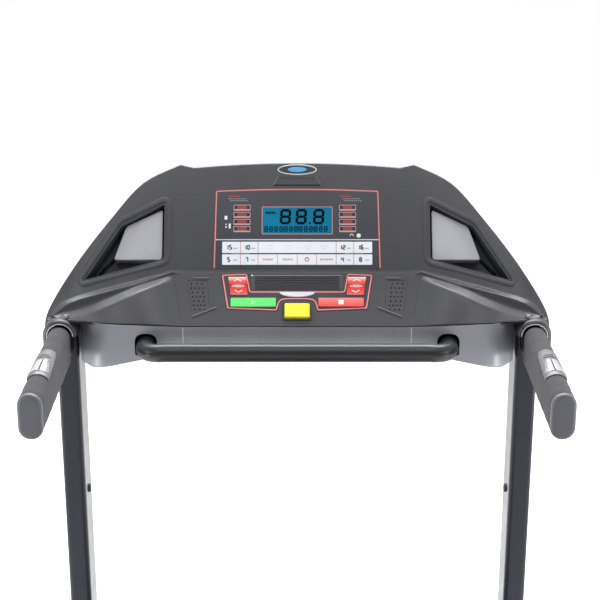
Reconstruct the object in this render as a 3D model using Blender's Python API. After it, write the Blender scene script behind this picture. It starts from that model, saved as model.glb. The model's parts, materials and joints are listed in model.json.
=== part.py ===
"""Folding treadmill with an inclining deck, built from named sub-parts.

Units are metres, +Z up, +X to the user's right, the user stands on the -Y side facing +Y.
The origin is on the floor, in the middle of the machine's plan.
"""
import math

import bmesh
import bpy
from mathutils import Matrix, Vector

# ---------------------------------------------------------------- driving dimensions
GAP = 0.0003              # clearance kept between pieces that touch

LENGTH = 1.76             # floor length, rear end caps to the transport wheels
UPRIGHT_X = 0.409         # middle of each upright, from the centre line
UPRIGHT_W = 0.040
UPRIGHT_D = 0.080
UPRIGHT_Y = 0.590
UPRIGHT_TOP = 1.106

CONSOLE = Vector((0.0, 0.490, 1.170))   # console reference point in the machine
UPPER_SLOPE = math.radians(60)          # display face, from the horizontal
LOWER_SLOPE = math.radians(40)          # key face, from the horizontal
UPPER_ORIGIN = CONSOLE + Vector((0, 0.0885, 0.0290))
LOWER_ORIGIN = CONSOLE + Vector((0, 0.0, -0.0490))
SHELL_WALL = 0.003
BACK_FOOT = Vector((0.170, -0.100))     # back face of the console in its Y-Z plane
BACK_HEAD = Vector((0.216, 0.190))

HANDLE_X = 0.412
HANDLE_Z = CONSOLE.z - 0.088
SENSOR_Y = 0.270          # near end of the pulse sensor on each grip
SENSOR_LENGTH = 0.110
HANDLE_HALF_W = 0.0165
HANDLE_HALF_H = 0.0350
HANDLE_REAR = CONSOLE.y - 0.294         # free end of the tube
GRIP_WALL = 0.0032

BAR_R = 0.016
BAR_Y = CONSOLE.y - 0.050
BAR_Z = CONSOLE.z - 0.078

ROLLER_R = 0.025
ROLLER_Z = 0.135
FRONT_ROLLER_Y = 0.460
REAR_ROLLER_Y = -0.820
BELT_HALF_W = 0.210
BELT_T = 0.0018

LIFT_BASE = Vector((0, 0.800, 0.060))   # lift frame's pin on the base frame
LIFT_HEAD = Vector((0, 0.540, 0.078))   # motor frame's pin on the lift frame
STRUT_FOOT = Vector((0, 0.380, 0.045))
STRUT_HEAD = Vector((0, -0.100, 0.070))
INCLINE_MOTOR_PIN = Vector((0.200, 0.770, 0.185))
INCLINE_NUT_PIN = Vector((0.200, 0.560, 0.180))

# ---------------------------------------------------------------- materials
PALETTE = {
    "charcoal_plastic": ((0.070, 0.072, 0.080), 0.50, 0.0),
    "grey_plastic": ((0.230, 0.235, 0.260), 0.38, 0.2),
    "dark_plastic": ((0.030, 0.032, 0.036), 0.45, 0.0),
    "overlay_film": ((0.050, 0.055, 0.070), 0.35, 0.0),
    "white_keys": ((0.720, 0.730, 0.760), 0.45, 0.0),
    "lcd_glass": ((0.010, 0.150, 0.260), 0.15, 0.0),
    "red_key": ((0.620, 0.020, 0.030), 0.35, 0.0),
    "green_key": ((0.040, 0.500, 0.080), 0.35, 0.0),
    "yellow_key": ((0.850, 0.800, 0.050), 0.40, 0.0),
    "foam_grip": ((0.090, 0.090, 0.095), 0.90, 0.0),
    "grip_cap": ((0.150, 0.152, 0.160), 0.55, 0.0),
    "sensor_steel": ((0.700, 0.700, 0.710), 0.25, 1.0),
    "black_steel": ((0.035, 0.037, 0.042), 0.40, 0.3),
    "upright_steel": ((0.042, 0.050, 0.062), 0.38, 0.3),
    "zinc_steel": ((0.550, 0.560, 0.580), 0.35, 1.0),
    "black_rubber": ((0.020, 0.020, 0.020), 0.85, 0.0),
    "running_belt": ((0.018, 0.018, 0.020), 0.80, 0.0),
    "deck_board": ((0.240, 0.170, 0.110), 0.60, 0.0),
    "circuit_board": ((0.020, 0.180, 0.070), 0.50, 0.0),
    "motor_steel": ((0.120, 0.125, 0.135), 0.40, 0.6),
}


def material(slot):
    """The sub-part's own Principled material, made from its palette entry."""
    colour, roughness, metallic = PALETTE[slot]
    mat = bpy.data.materials.new(slot)
    mat.use_nodes = True
    shader = mat.node_tree.nodes["Principled BSDF"]
    shader.inputs["Base Color"].default_value = (*colour, 1.0)
    shader.inputs["Roughness"].default_value = roughness
    shader.inputs["Metallic"].default_value = metallic
    mat.diffuse_color = (*colour, 1.0)
    return mat


# ---------------------------------------------------------------- mesh helpers
def clear_scene():
    for obj in list(bpy.data.objects):
        bpy.data.objects.remove(obj, do_unlink=True)


def from_bmesh(name, bm, slot, origin=None):
    """A mesh object from bm, with its origin moved to a joint's axis where one is given."""
    bmesh.ops.recalc_face_normals(bm, faces=bm.faces)
    mesh = bpy.data.meshes.new(name)
    if origin is not None:
        bmesh.ops.translate(bm, verts=bm.verts, vec=-origin)
    bm.to_mesh(mesh)
    bm.free()
    obj = bpy.data.objects.new(name, mesh)
    if origin is not None:
        obj.location = origin
    if slot:
        mesh.materials.append(material(slot))
    bpy.context.collection.objects.link(obj)
    return obj


def add_prism(bm, outline, depth):
    """Extrudes a closed outline of points by a vector, as one closed solid."""
    low = [bm.verts.new(p) for p in outline]
    high = [bm.verts.new(Vector(p) + depth) for p in outline]
    bm.faces.new(low)
    bm.faces.new(high[::-1])
    count = len(low)
    for i in range(count):
        j = (i + 1) % count
        bm.faces.new((low[i], low[j], high[j], high[i]))


def add_loft(bm, rings):
    """Joins rings of equal length by quads, with a cap on the first and the last."""
    rows = [[bm.verts.new(p) for p in ring] for ring in rings]
    count = len(rows[0])
    for a, b in zip(rows, rows[1:]):
        for i in range(count):
            j = (i + 1) % count
            bm.faces.new((a[i], a[j], b[j], b[i]))
    bm.faces.new(rows[0][::-1])
    bm.faces.new(rows[-1])


def add_box(bm, low, high):
    """An upright box between two corners."""
    x0, y0, z0 = low
    x1, y1, z1 = high
    outline = [(x0, y0, z0), (x1, y0, z0), (x1, y1, z0), (x0, y1, z0)]
    add_prism(bm, [Vector(p) for p in outline], Vector((0, 0, z1 - z0)))


def add_cylinder(bm, start, end, radius, sides=24):
    """A cylinder between two points."""
    start, end = Vector(start), Vector(end)
    along = end - start
    turn = along.to_track_quat("Z", "Y").to_matrix()
    ring = []
    for i in range(sides):
        a = 2 * math.pi * i / sides
        ring.append(start + turn @ Vector((radius * math.cos(a), radius * math.sin(a), 0)))
    add_prism(bm, ring, along)


def add_turned(bm, start, axis, profile, sides=24):
    """A turned solid: profile holds (distance along the axis, radius), first and last capped."""
    turn = Vector(axis).to_track_quat("Z", "Y").to_matrix()
    rings = []
    for along, radius in profile:
        ring = []
        for i in range(sides):
            a = 2 * math.pi * i / sides
            flat = Vector((radius * math.cos(a), radius * math.sin(a), along))
            ring.append(Vector(start) + turn @ flat)
        rings.append(ring)
    add_loft(bm, rings)


def rounded_outline(half_w, half_h, radius, steps=4):
    """A rectangle with round corners, as 2-D points, anticlockwise."""
    points = []
    corners = ((1, 1, 0), (-1, 1, 90), (-1, -1, 180), (1, -1, 270))
    for sx, sy, first in corners:
        for i in range(steps + 1):
            a = math.radians(first + 90 * i / steps)
            x = sx * (half_w - radius) + radius * math.cos(a)
            y = sy * (half_h - radius) + radius * math.sin(a)
            points.append((x, y))
    return points


def solid(name, slot, build, origin=None):
    """One object from a function that fills a bmesh."""
    bm = bmesh.new()
    build(bm)
    return from_bmesh(name, bm, slot, origin)


def helper(name, build):
    """A hidden shape that a Boolean uses."""
    obj = solid(name, None, build)
    obj.hide_render = True
    obj.display_type = "WIRE"
    return obj


def boolean(obj, other, operation):
    mod = obj.modifiers.new(operation.lower(), "BOOLEAN")
    mod.operation = operation
    mod.object = other
    return mod


def cut(obj, build):
    """Cuts a shape out of obj."""
    boolean(obj, helper(obj.name + ".cut", build), "DIFFERENCE")


def weld(obj, build):
    """Joins a shape onto obj as one body."""
    boolean(obj, helper(obj.name + ".weld", build), "UNION")


# ---------------------------------------------------------------- console frames
def panel_frame(origin, slope):
    """Maps (across, up the slope, out of the face) to the machine's frame."""
    along = Vector((0, math.cos(slope), math.sin(slope)))
    out = Vector((0, -math.sin(slope), math.cos(slope)))
    frame = Matrix.Identity(4)
    frame.col[0][:3] = (1, 0, 0)
    frame.col[1][:3] = along
    frame.col[2][:3] = out
    frame.col[3][:3] = origin
    return frame


UPPER = panel_frame(UPPER_ORIGIN, UPPER_SLOPE)
LOWER = panel_frame(LOWER_ORIGIN, LOWER_SLOPE)


def add_plate(bm, frame, outline, low, high):
    """A plate on a console face: a 2-D outline between two heights above the face."""
    ring = [frame @ Vector((x, y, low)) for x, y in outline]
    depth = frame.to_3x3() @ Vector((0, 0, high - low))
    add_prism(bm, ring, depth)


def rectangle(x0, y0, x1, y1, radius=0.0, steps=3):
    """A 2-D rectangle, with round corners where a radius is given."""
    if radius <= 0:
        return [(x0, y0), (x1, y0), (x1, y1), (x0, y1)]
    cx, cy = (x0 + x1) / 2, (y0 + y1) / 2
    ring = rounded_outline(abs(x1 - x0) / 2, abs(y1 - y0) / 2, radius, steps)
    return [(cx + x, cy + y) for x, y in ring]


def grown(outline, amount):
    """A convex outline moved outward by about the same amount on each side."""
    cx = sum(p[0] for p in outline) / len(outline)
    cy = sum(p[1] for p in outline) / len(outline)
    result = []
    for x, y in outline:
        dx, dy = x - cx, y - cy
        result.append((x + math.copysign(amount, dx), y + math.copysign(amount, dy)))
    return result


# ---------------------------------------------------------------- console shells
# Rows of the upper shell's right half in the console frame: seam, band, ridge and rim.
SHELL_COLUMNS = [
    ((0.000, 0.000, -0.049), (0.000, 0.040, -0.0155), (0.000, 0.084, 0.0235), (0.000, 0.185, 0.1965)),
    ((0.165, 0.000, -0.049), (0.171, 0.040, -0.0155), (0.185, 0.084, 0.0235), (0.184, 0.181, 0.1890)),
    ((0.198, 0.000, -0.049), (0.217, 0.074, 0.0120), (0.221, 0.085, 0.0245), (0.209, 0.1835, 0.1940)),
    ((0.250, 0.000, -0.047), (0.266, 0.030, 0.0020), (0.285, 0.072, 0.0110), (0.275, 0.166, 0.1640)),
    ((0.300, 0.000, -0.045), (0.319, 0.025, -0.0180), (0.345, 0.062, -0.0020), (0.332, 0.133, 0.1060)),
    ((0.345, 0.002, -0.043), (0.357, 0.020, -0.0320), (0.388, 0.054, -0.0120), (0.392, 0.091, 0.0340)),
    ((0.376, 0.008, -0.0435), (0.386, 0.020, -0.0370), (0.412, 0.046, -0.0220), (0.437, 0.051, -0.0360)),
    ((0.412, 0.014, -0.044), (0.418, 0.022, -0.0400), (0.430, 0.036, -0.0400), (0.443, 0.028, -0.0750)),
]


def back_face_y(z):
    """Y of the console's back face at a height, in the console frame."""
    share = (z - BACK_FOOT.y) / (BACK_HEAD.y - BACK_FOOT.y)
    return BACK_FOOT.x + share * (BACK_HEAD.x - BACK_FOOT.x)


def tray_outline(inset=0.0):
    """The right tray's mouth on the display face: inner top, inner foot, outer foot, outer mid."""
    def at(z):
        return (z - 0.029) / math.sin(UPPER_SLOPE)
    return [
        (0.233 + inset, at(0.134) - inset),
        (0.233 + inset, at(0.042) + inset),
        (0.366 - 2 * inset, at(0.014) + inset),
        (0.314 - inset, at(0.098) - inset),
    ]


def mirrored(outline):
    return [(-x, y) for x, y in outline][::-1]


def upper_shell():
    bm = bmesh.new()
    grid = []
    for column in SHELL_COLUMNS:
        rim = column[-1]
        back = (rim[0], back_face_y(rim[2]) - 0.004, rim[2])
        grid.append([bm.verts.new(CONSOLE + Vector(p)) for p in (*column, back)])
    for left, right in zip(grid, grid[1:]):
        for i in range(len(left) - 1):
            bm.faces.new((left[i], right[i], right[i + 1], left[i + 1]))
    obj = from_bmesh("console_upper_shell", bm, "charcoal_plastic")
    mirror = obj.modifiers.new("mirror", "MIRROR")
    mirror.merge_threshold = 0.00005
    wall = obj.modifiers.new("wall", "SOLIDIFY")
    wall.thickness = SHELL_WALL
    wall.offset = -1
    for side in (1, -1):
        outline = tray_outline() if side > 0 else mirrored(tray_outline())
        cut(obj, lambda bm, o=outline: add_plate(bm, UPPER, o, -0.020, 0.030))
    cut(obj, lambda bm: add_plate(bm, UPPER, grown(display_outline(), 0.0006), -0.010, 0.012))
    cut(obj, lambda bm: add_plate(bm, LOWER, grown(control_outline(), 0.0006), -0.010, 0.012))
    for side in (1, -1):
        grille = speaker_outline(side)
        cut(obj, lambda bm, o=grille: add_plate(bm, LOWER, grown(o, 0.0006), -0.010, 0.012))
    return obj


def lower_shell():
    """The belly: an open tub under the key face, with its front, sides and floor."""
    tops = [-0.0530, -0.0530, -0.0510, -0.0490, -0.0480, -0.0480]
    feet = [-0.097, -0.099, -0.112, -0.127, -0.131, -0.134]
    xs = [0.0, 0.198, 0.270, 0.340, 0.358, 0.384]
    fronts = [0.0, 0.0, 0.0, 0.001, 0.010, 0.052]
    rear = 0.160
    bm = bmesh.new()
    grid = []
    for x, top, foot, front in zip(xs, tops, feet, fronts):
        column = [
            (x, front, top),
            (x, front, foot + 0.012),
            (x, front + 0.012, foot),
            (x, rear - 0.010, foot - 0.004),
            (x, rear, foot + 0.006),
            (x, rear, -0.040),
        ]
        grid.append([bm.verts.new(CONSOLE + Vector(p)) for p in column])
    for left, right in zip(grid, grid[1:]):
        for i in range(len(left) - 1):
            bm.faces.new((left[i], right[i], right[i + 1], left[i + 1]))
    bm.faces.new(grid[-1][::-1])
    obj = from_bmesh("console_lower_shell", bm, "grey_plastic")
    mirror = obj.modifiers.new("mirror", "MIRROR")
    mirror.merge_threshold = 0.00005
    wall = obj.modifiers.new("wall", "SOLIDIFY")
    wall.thickness = SHELL_WALL
    wall.offset = -1

    def bar_holes(bm):
        for side in (1, -1):
            start = CONSOLE + Vector((side * 0.262, -0.030, BAR_Z - CONSOLE.z - 0.006))
            end = CONSOLE + Vector((side * 0.262, 0.020, BAR_Z - CONSOLE.z - 0.006))
            add_cylinder(bm, start, end, BAR_R + 0.0012)
    cut(obj, bar_holes)
    return obj


def back_cover():
    """A flat moulded cover that closes the console and both wings from behind."""
    rim = [column[-1] for column in SHELL_COLUMNS]
    half = [(x - 0.001, z - 0.0005) for x, _, z in rim[1:]]
    half += [(0.436, -0.082), (0.368, -0.092)]
    outline = [(0.0, rim[0][2] - 0.001)] + half
    outline += [(-x, z) for x, z in half[::-1]]
    ring = [CONSOLE + Vector((x, back_face_y(z), z)) for x, z in outline]

    def build(bm):
        add_prism(bm, ring, Vector((0, 0.004, -0.0006)))
    return solid("console_back_cover", "charcoal_plastic", build)


def trays():
    """Deep pockets in the wings."""
    depth = 0.044
    for side, label in ((-1, "left"), (1, "right")):
        outer = tray_outline(0.0008)
        inner = tray_outline(0.0040)
        if side < 0:
            outer, inner = mirrored(outer), mirrored(inner)
        tray = solid(
            label + "_tray", "dark_plastic",
            lambda bm, o=outer: add_plate(bm, UPPER, o, -depth - 0.003, 0.0015),
        )
        cut(tray, lambda bm, o=inner: add_plate(bm, UPPER, o, -depth, 0.010))


# ---------------------------------------------------------------- display and keys
def display_outline():
    return [(-0.147, -0.0015), (0.147, -0.0015), (0.144, 0.142), (0.0, 0.1455), (-0.144, 0.142)]


def control_outline():
    return [
        (-0.119, 0.0300), (-0.040, 0.0300), (-0.036, 0.0130), (0.036, 0.0130), (0.040, 0.0300),
        (0.119, 0.0300), (0.134, 0.1020), (-0.134, 0.1020),
    ]


def speaker_outline(side):
    outline = [(0.152, 0.028), (0.184, 0.028), (0.194, 0.094), (0.158, 0.094)]
    return outline if side > 0 else mirrored(outline)


LCD = rectangle(-0.061, 0.0630, 0.061, 0.1100)
START_KEY = rectangle(-0.116, 0.0385, -0.036, 0.0555, 0.003)
STOP_KEY = rectangle(0.036, 0.0385, 0.116, 0.0555, 0.003)
SAFETY_KEY = rectangle(-0.022, 0.0160, 0.022, 0.0445, 0.003)
GRILLE = rectangle(-0.078, 0.0660, 0.078, 0.0995, 0.004)
ROCKER_X = 0.105
ROCKER_W = 0.019
UP_KEY_V = (0.0850, 0.1000)
DOWN_KEY_V = (0.0640, 0.0790)


def rocker_outline(side, span):
    x = side * ROCKER_X
    return rectangle(x - ROCKER_W, span[0], x + ROCKER_W, span[1], 0.003)


KEYS = {
    "start_key": (START_KEY, "green_key"),
    "stop_key": (STOP_KEY, "red_key"),
    "incline_up_key": (rocker_outline(-1, UP_KEY_V), "red_key"),
    "incline_down_key": (rocker_outline(-1, DOWN_KEY_V), "red_key"),
    "speed_up_key": (rocker_outline(1, UP_KEY_V), "red_key"),
    "speed_down_key": (rocker_outline(1, DOWN_KEY_V), "red_key"),
}
PLATE_T = 0.003


def display_parts():
    overlay = solid(
        "display_overlay", "overlay_film",
        lambda bm: add_plate(bm, UPPER, display_outline(), -PLATE_T, 0.0005),
    )
    cut(overlay, lambda bm: add_plate(bm, UPPER, grown(LCD, GAP), -0.010, 0.010))
    solid("lcd_display", "lcd_glass", lambda bm: add_plate(bm, UPPER, LCD, -0.009, 0.0008))

    keys = rectangle(-0.134, 0.0065, 0.134, 0.0470, 0.003)
    solid("quick_key_film", "white_keys", lambda bm: add_plate(bm, UPPER, keys, 0.0008, 0.0014))


def control_parts():
    overlay = solid(
        "control_overlay", "overlay_film",
        lambda bm: add_plate(bm, LOWER, control_outline(), -PLATE_T, 0.0005),
    )

    def openings(bm):
        for outline, _ in KEYS.values():
            add_plate(bm, LOWER, grown(outline, 0.0005), -0.010, 0.010)
        add_plate(bm, LOWER, grown(SAFETY_KEY, 0.0005), -0.010, 0.010)
        add_plate(bm, LOWER, grown(GRILLE, GAP), -0.010, 0.010)
    cut(overlay, openings)
    for name, (outline, slot) in KEYS.items():
        centre = LOWER @ Vector((sum(p[0] for p in outline) / len(outline),
                                 sum(p[1] for p in outline) / len(outline), 0))
        solid(
            name, slot,
            lambda bm, o=outline: add_plate(bm, LOWER, o, -0.0030, 0.0022),
            origin=centre,
        )
    solid(
        "safety_key", "yellow_key",
        lambda bm: add_plate(bm, LOWER, SAFETY_KEY, -0.0050, 0.0075),
        origin=LOWER @ Vector((0, 0.030, 0)),
    )


def display_board():
    board = rectangle(-0.130, 0.010, 0.130, 0.130)
    solid("display_board", "circuit_board", lambda bm: add_plate(bm, UPPER, board, -0.0125, -0.0110))


def fan():
    centre = (0.0, 0.083)

    def grille(bm):
        add_plate(bm, LOWER, GRILLE, -0.0040, 0.0005)

    def slots(bm):
        slats = 7
        low, high = 0.0682, 0.0973
        pitch = (high - low) / slats
        for i in range(slats):
            v = low + pitch * i
            add_plate(bm, LOWER, rectangle(-0.073, v + 0.0010, 0.073, v + pitch - 0.0010), -0.01, 0.01)
    obj = solid("fan_grille", "dark_plastic", grille)
    cut(obj, slots)

    axis = LOWER.to_3x3() @ Vector((0, 0, 1))
    hub = LOWER @ Vector((*centre, -0.020))
    top = LOWER @ Vector((*centre, -0.0080))

    def housing(bm):
        add_cylinder(bm, LOWER @ Vector((*centre, -0.026)), top, 0.0290)

    housing_obj = solid("fan_housing", "dark_plastic", housing)

    def bore(bm):
        add_cylinder(bm, LOWER @ Vector((*centre, -0.0235)), LOWER @ Vector((*centre, 0.0)), 0.0270)
    cut(housing_obj, bore)

    blades = 7
    impeller = solid(
        "fan_impeller", "dark_plastic",
        lambda bm: add_cylinder(bm, hub, hub + axis * 0.009, 0.0090, 20),
    )

    def vanes(bm):
        for i in range(blades):
            a = 2 * math.pi * i / blades
            radial = Vector((math.cos(a), math.sin(a), 0))
            across = Vector((-math.sin(a), math.cos(a), 0))
            pitch = across * 0.0055 + Vector((0, 0, 0.0055))
            thick = (across * -0.0006 + Vector((0, 0, 0.0006)))
            middle = Vector((*centre, -0.0150))
            ring = []
            for r, side in ((0.007, -1), (0.0245, -1), (0.0245, 1), (0.007, 1)):
                ring.append(LOWER @ (middle + radial * r + pitch * 0.6 * side - thick))
            add_prism(bm, ring, LOWER.to_3x3() @ (thick * 2))
    weld(impeller, vanes)


def speaker_grilles():
    for side, label in ((-1, "left"), (1, "right")):
        solid(
            label + "_speaker_grille", "dark_plastic",
            lambda bm, s=side: add_plate(bm, LOWER, speaker_outline(s), -0.003, 0.0005),
        )


# ---------------------------------------------------------------- handles, bar and uprights
def stadium(half_w, half_h, steps=6):
    return rounded_outline(half_w, half_h, half_w - 0.0001, steps)


def along_y(outline, x, z, y):
    return [Vector((x + a, y, z + b)) for a, b in outline]


def handles():
    upright_front = UPRIGHT_Y - UPRIGHT_D / 2
    for side, label in ((-1, "left"), (1, "right")):
        x = side * HANDLE_X
        tube = stadium(HANDLE_HALF_W, HANDLE_HALF_H)
        inner = stadium(HANDLE_HALF_W - 0.002, HANDLE_HALF_H - 0.002)
        length = upright_front - GAP - HANDLE_REAR
        obj = solid(
            label + "_handle_tube", "black_steel",
            lambda bm: add_prism(bm, along_y(tube, x, HANDLE_Z, HANDLE_REAR), Vector((0, length, 0))),
        )
        cut(obj, lambda bm: add_prism(
            bm, along_y(inner, x, HANDLE_Z, HANDLE_REAR - 0.01), Vector((0, length - 0.002, 0))))

        grip_end = CONSOLE.y + 0.004
        grip_start = HANDLE_REAR + 0.0003
        hole = stadium(HANDLE_HALF_W + GAP, HANDLE_HALF_H + GAP)
        skin = stadium(HANDLE_HALF_W + GRIP_WALL, HANDLE_HALF_H + GRIP_WALL)
        grip = solid(
            label + "_grip", "foam_grip",
            lambda bm: add_prism(
                bm, along_y(skin, x, HANDLE_Z, grip_start), Vector((0, grip_end - grip_start, 0))),
        )
        bore = along_y(hole, x, HANDLE_Z, grip_start - 0.01)
        cut(grip, lambda bm: add_prism(bm, bore, Vector((0, 0.4, 0))))


def grip_fittings():
    """The end cap and the pulse sensor of each grip."""
    cap = stadium(HANDLE_HALF_W + GRIP_WALL, HANDLE_HALF_H + GRIP_WALL)
    small = stadium(HANDLE_HALF_W - 0.001, HANDLE_HALF_H - 0.001)
    end = HANDLE_REAR - GAP
    top = HANDLE_Z + HANDLE_HALF_H + GRIP_WALL
    for side, label in ((-1, "left"), (1, "right")):
        x = side * HANDLE_X
        rings = [
            along_y(cap, x, HANDLE_Z, end),
            along_y(cap, x, HANDLE_Z, end - 0.005),
            along_y(small, x, HANDLE_Z, end - 0.0095),
        ]
        solid(label + "_grip_cap", "grip_cap", lambda bm: add_loft(bm, rings))
        outline = [(x - 0.010, top + 0.0003), (x + 0.010, top + 0.0003), (x + 0.007, top + 0.0060),
                   (x - 0.007, top + 0.0060)]
        foot = [Vector((a, SENSOR_Y, b)) for a, b in outline]
        solid(label + "_pulse_sensor", "sensor_steel",
              lambda bm: add_prism(bm, foot, Vector((0, SENSOR_LENGTH, 0))))


def bar_path():
    """Centre line of the front bar's right half, from the middle to inside the belly."""
    bend_r = 0.036
    straight = 0.226
    points = [Vector((0, BAR_Y, BAR_Z)), Vector((straight, BAR_Y, BAR_Z))]
    for i in range(1, 7):
        a = math.radians(90 * i / 6)
        points.append(Vector((straight + bend_r * math.sin(a), BAR_Y + bend_r * (1 - math.cos(a)),
                              BAR_Z - 0.006 * i / 6)))
    points.append(points[-1] + Vector((0.0, 0.030, 0)))
    return points


def front_bar():
    half = bar_path()
    path = [Vector((-p.x, p.y, p.z)) for p in half[:0:-1]] + half[1:]
    sides = 20
    rings = []
    for i, p in enumerate(path):
        ahead = path[min(i + 1, len(path) - 1)]
        behind = path[max(i - 1, 0)]
        turn = (ahead - behind).normalized()
        up = Vector((0, 0, 1))
        across = turn.cross(up).normalized()
        lift = across.cross(turn)
        ring = []
        for k in range(sides):
            a = 2 * math.pi * k / sides
            ring.append(p + across * (BAR_R * math.cos(a)) + lift * (BAR_R * math.sin(a)))
        rings.append(ring)
    return solid("front_bar", "black_steel", lambda bm: add_loft(bm, rings))


def uprights():
    base_top = 0.068 + GAP
    for side, label in ((-1, "left"), (1, "right")):
        x = side * UPRIGHT_X
        outer = rounded_outline(UPRIGHT_W / 2, UPRIGHT_D / 2, 0.012)
        inner = rounded_outline(UPRIGHT_W / 2 - 0.002, UPRIGHT_D / 2 - 0.002, 0.010)
        height = UPRIGHT_TOP - base_top
        obj = solid(
            label + "_upright", "upright_steel",
            lambda bm: add_prism(
                bm, [Vector((x + a, UPRIGHT_Y + b, base_top)) for a, b in outer], Vector((0, 0, height))),
        )
        cut(obj, lambda bm: add_prism(
            bm, [Vector((x + a, UPRIGHT_Y + b, base_top + 0.010)) for a, b in inner],
            Vector((0, 0, height))))


# ---------------------------------------------------------------- base and lift frame
BASE_RAIL_TOP = 0.068
BASE_RAIL_FOOT = 0.018
WHEEL_AXLE = Vector((0, 0.850, 0.036))
WHEEL_R = 0.030


def base_frame():
    def left_rail(bm):
        add_box(bm, (-0.429, 0.000, BASE_RAIL_FOOT), (-0.389, 0.806, BASE_RAIL_TOP))

    obj = solid("base_frame", "black_steel", left_rail)
    weld(obj, lambda bm: add_box(bm, (-0.3895, 0.756, 0.0185), (0.3895, 0.790, 0.0400)))
    weld(obj, lambda bm: add_box(bm, (-0.3895, 0.010, 0.0185), (0.3895, 0.050, 0.0420)))
    weld(obj, lambda bm: add_box(bm, (0.389, 0.000, BASE_RAIL_FOOT), (0.429, 0.806, BASE_RAIL_TOP)))

    def ears(bm):
        for side in (-1, 1):
            for inner, outer in ((0.3905, 0.3955), (0.4225, 0.4275)):
                xs = sorted((side * inner, side * outer))
                add_box(bm, (xs[0], 0.800, 0.022), (xs[1], 0.862, 0.060))
            xs = sorted((side * 0.366, side * 0.376))
            add_box(bm, (xs[0], 0.770, 0.035), (xs[1], 0.822, 0.082))
    weld(obj, ears)

    def gussets(bm):
        for side in (-1, 1):
            xs = sorted((side * 0.371, side * 0.392))
            add_box(bm, (xs[0], 0.775, 0.0345), (xs[1], 0.785, 0.0600))
    weld(obj, gussets)

    def pin_holes(bm):
        add_cylinder(bm, (-0.380, LIFT_BASE.y, LIFT_BASE.z), (-0.360, LIFT_BASE.y, LIFT_BASE.z), 0.0063)
        add_cylinder(bm, (0.360, LIFT_BASE.y, LIFT_BASE.z), (0.380, LIFT_BASE.y, LIFT_BASE.z), 0.0063)
        for side in (-1, 1):
            ends = sorted((side * 0.3885, side * 0.4295))
            add_cylinder(bm, (ends[0], WHEEL_AXLE.y, WHEEL_AXLE.z),
                         (ends[1], WHEEL_AXLE.y, WHEEL_AXLE.z), 0.0043, 16)
    cut(obj, pin_holes)

    def feet(bm):
        for side in (-1, 1):
            for y in (0.030, 0.770):
                add_turned(bm, (side * UPRIGHT_X, y, 0), (0, 0, 1),
                           [(0, 0.017), (0.004, 0.019), (BASE_RAIL_FOOT + 0.002, 0.016)], 14)
    weld(obj, feet)


def transport_wheels():
    """Two wheels on one long axle, each between its own two ears."""
    inner, outer = 0.3970, 0.4210
    width = outer - inner
    tread = [(0, WHEEL_R - 0.004), (0.004, WHEEL_R), (width - 0.004, WHEEL_R), (width, WHEEL_R - 0.004)]

    def bore(bm):
        add_cylinder(bm, WHEEL_AXLE - Vector((0.45, 0, 0)), WHEEL_AXLE + Vector((0.45, 0, 0)), 0.0046, 16)
    bore_shape = helper("wheel_bore.cut", bore)
    for start, label in ((-outer, "left"), (inner, "right")):
        obj = solid(
            label + "_transport_wheel", "black_rubber",
            lambda bm: add_turned(bm, WHEEL_AXLE + Vector((start, 0, 0)), (1, 0, 0), tread, 28),
            origin=WHEEL_AXLE + Vector((start + width / 2, 0, 0)),
        )
        boolean(obj, bore_shape, "DIFFERENCE")


def base_pins():
    """The wheel axle and the lift frame's axle, both fixed in the base frame."""
    for name, pin, half, radius in (
        ("wheel_axle", WHEEL_AXLE, 0.4290, 0.0040),
        ("lift_axle", LIFT_BASE, 0.3780, 0.0060),
    ):
        reach = Vector((half, 0, 0))
        solid(name, "zinc_steel", lambda bm: add_cylinder(bm, pin - reach, pin + reach, radius, 16))


def lift_arm_outline(x):
    """A plate from the base pin to the lift head, with round ends."""
    points = []
    ends = ((LIFT_BASE, 0.014), (LIFT_HEAD, 0.024))
    direction = (LIFT_HEAD - LIFT_BASE).normalized()
    angle = math.atan2(direction.z, direction.y)
    for (centre, radius), first in zip(ends, (angle + math.pi / 2, angle - math.pi / 2)):
        for i in range(9):
            a = first + math.pi * i / 8
            points.append(Vector((x, centre.y + radius * math.cos(a), centre.z + radius * math.sin(a))))
    return points


def lift_frame():
    def tube(bm):
        add_cylinder(bm, (-0.352, LIFT_HEAD.y, LIFT_HEAD.z), (0.352, LIFT_HEAD.y, LIFT_HEAD.z), 0.015)

    obj = solid("lift_frame", "black_steel", tube, origin=LIFT_BASE)

    def arms(bm):
        add_prism(bm, lift_arm_outline(-0.360), Vector((0.010, 0, 0)))
        add_prism(bm, lift_arm_outline(0.350), Vector((0.010, 0, 0)))
    boolean(obj, helper("lift_arms.weld", arms), "UNION")

    def lever(bm):
        nut = INCLINE_NUT_PIN
        x0 = nut.x - 0.016
        outline = [
            Vector((x0, LIFT_HEAD.y - 0.010, LIFT_HEAD.z)),
            Vector((x0, LIFT_HEAD.y + 0.012, LIFT_HEAD.z)),
            Vector((x0, nut.y + 0.011, nut.z - 0.004)),
            Vector((x0, nut.y + 0.006, nut.z + 0.010)),
            Vector((x0, nut.y - 0.006, nut.z + 0.010)),
            Vector((x0, nut.y - 0.011, nut.z - 0.004)),
        ]
        add_prism(bm, outline, Vector((0.006, 0, 0)))
    boolean(obj, helper("lift_lever.weld", lever), "UNION")

    def holes(bm):
        for side in (-1, 1):
            ends = sorted((side * 0.345, side * 0.365))
            add_cylinder(bm, (ends[0], LIFT_BASE.y, LIFT_BASE.z), (ends[1], LIFT_BASE.y, LIFT_BASE.z), 0.0066)
    boolean(obj, helper("lift_holes.cut", holes), "DIFFERENCE")


# ---------------------------------------------------------------- motor frame and drive
MOTOR = Vector((0, 0.680, 0.170))
FLYWHEEL_R = 0.050


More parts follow.
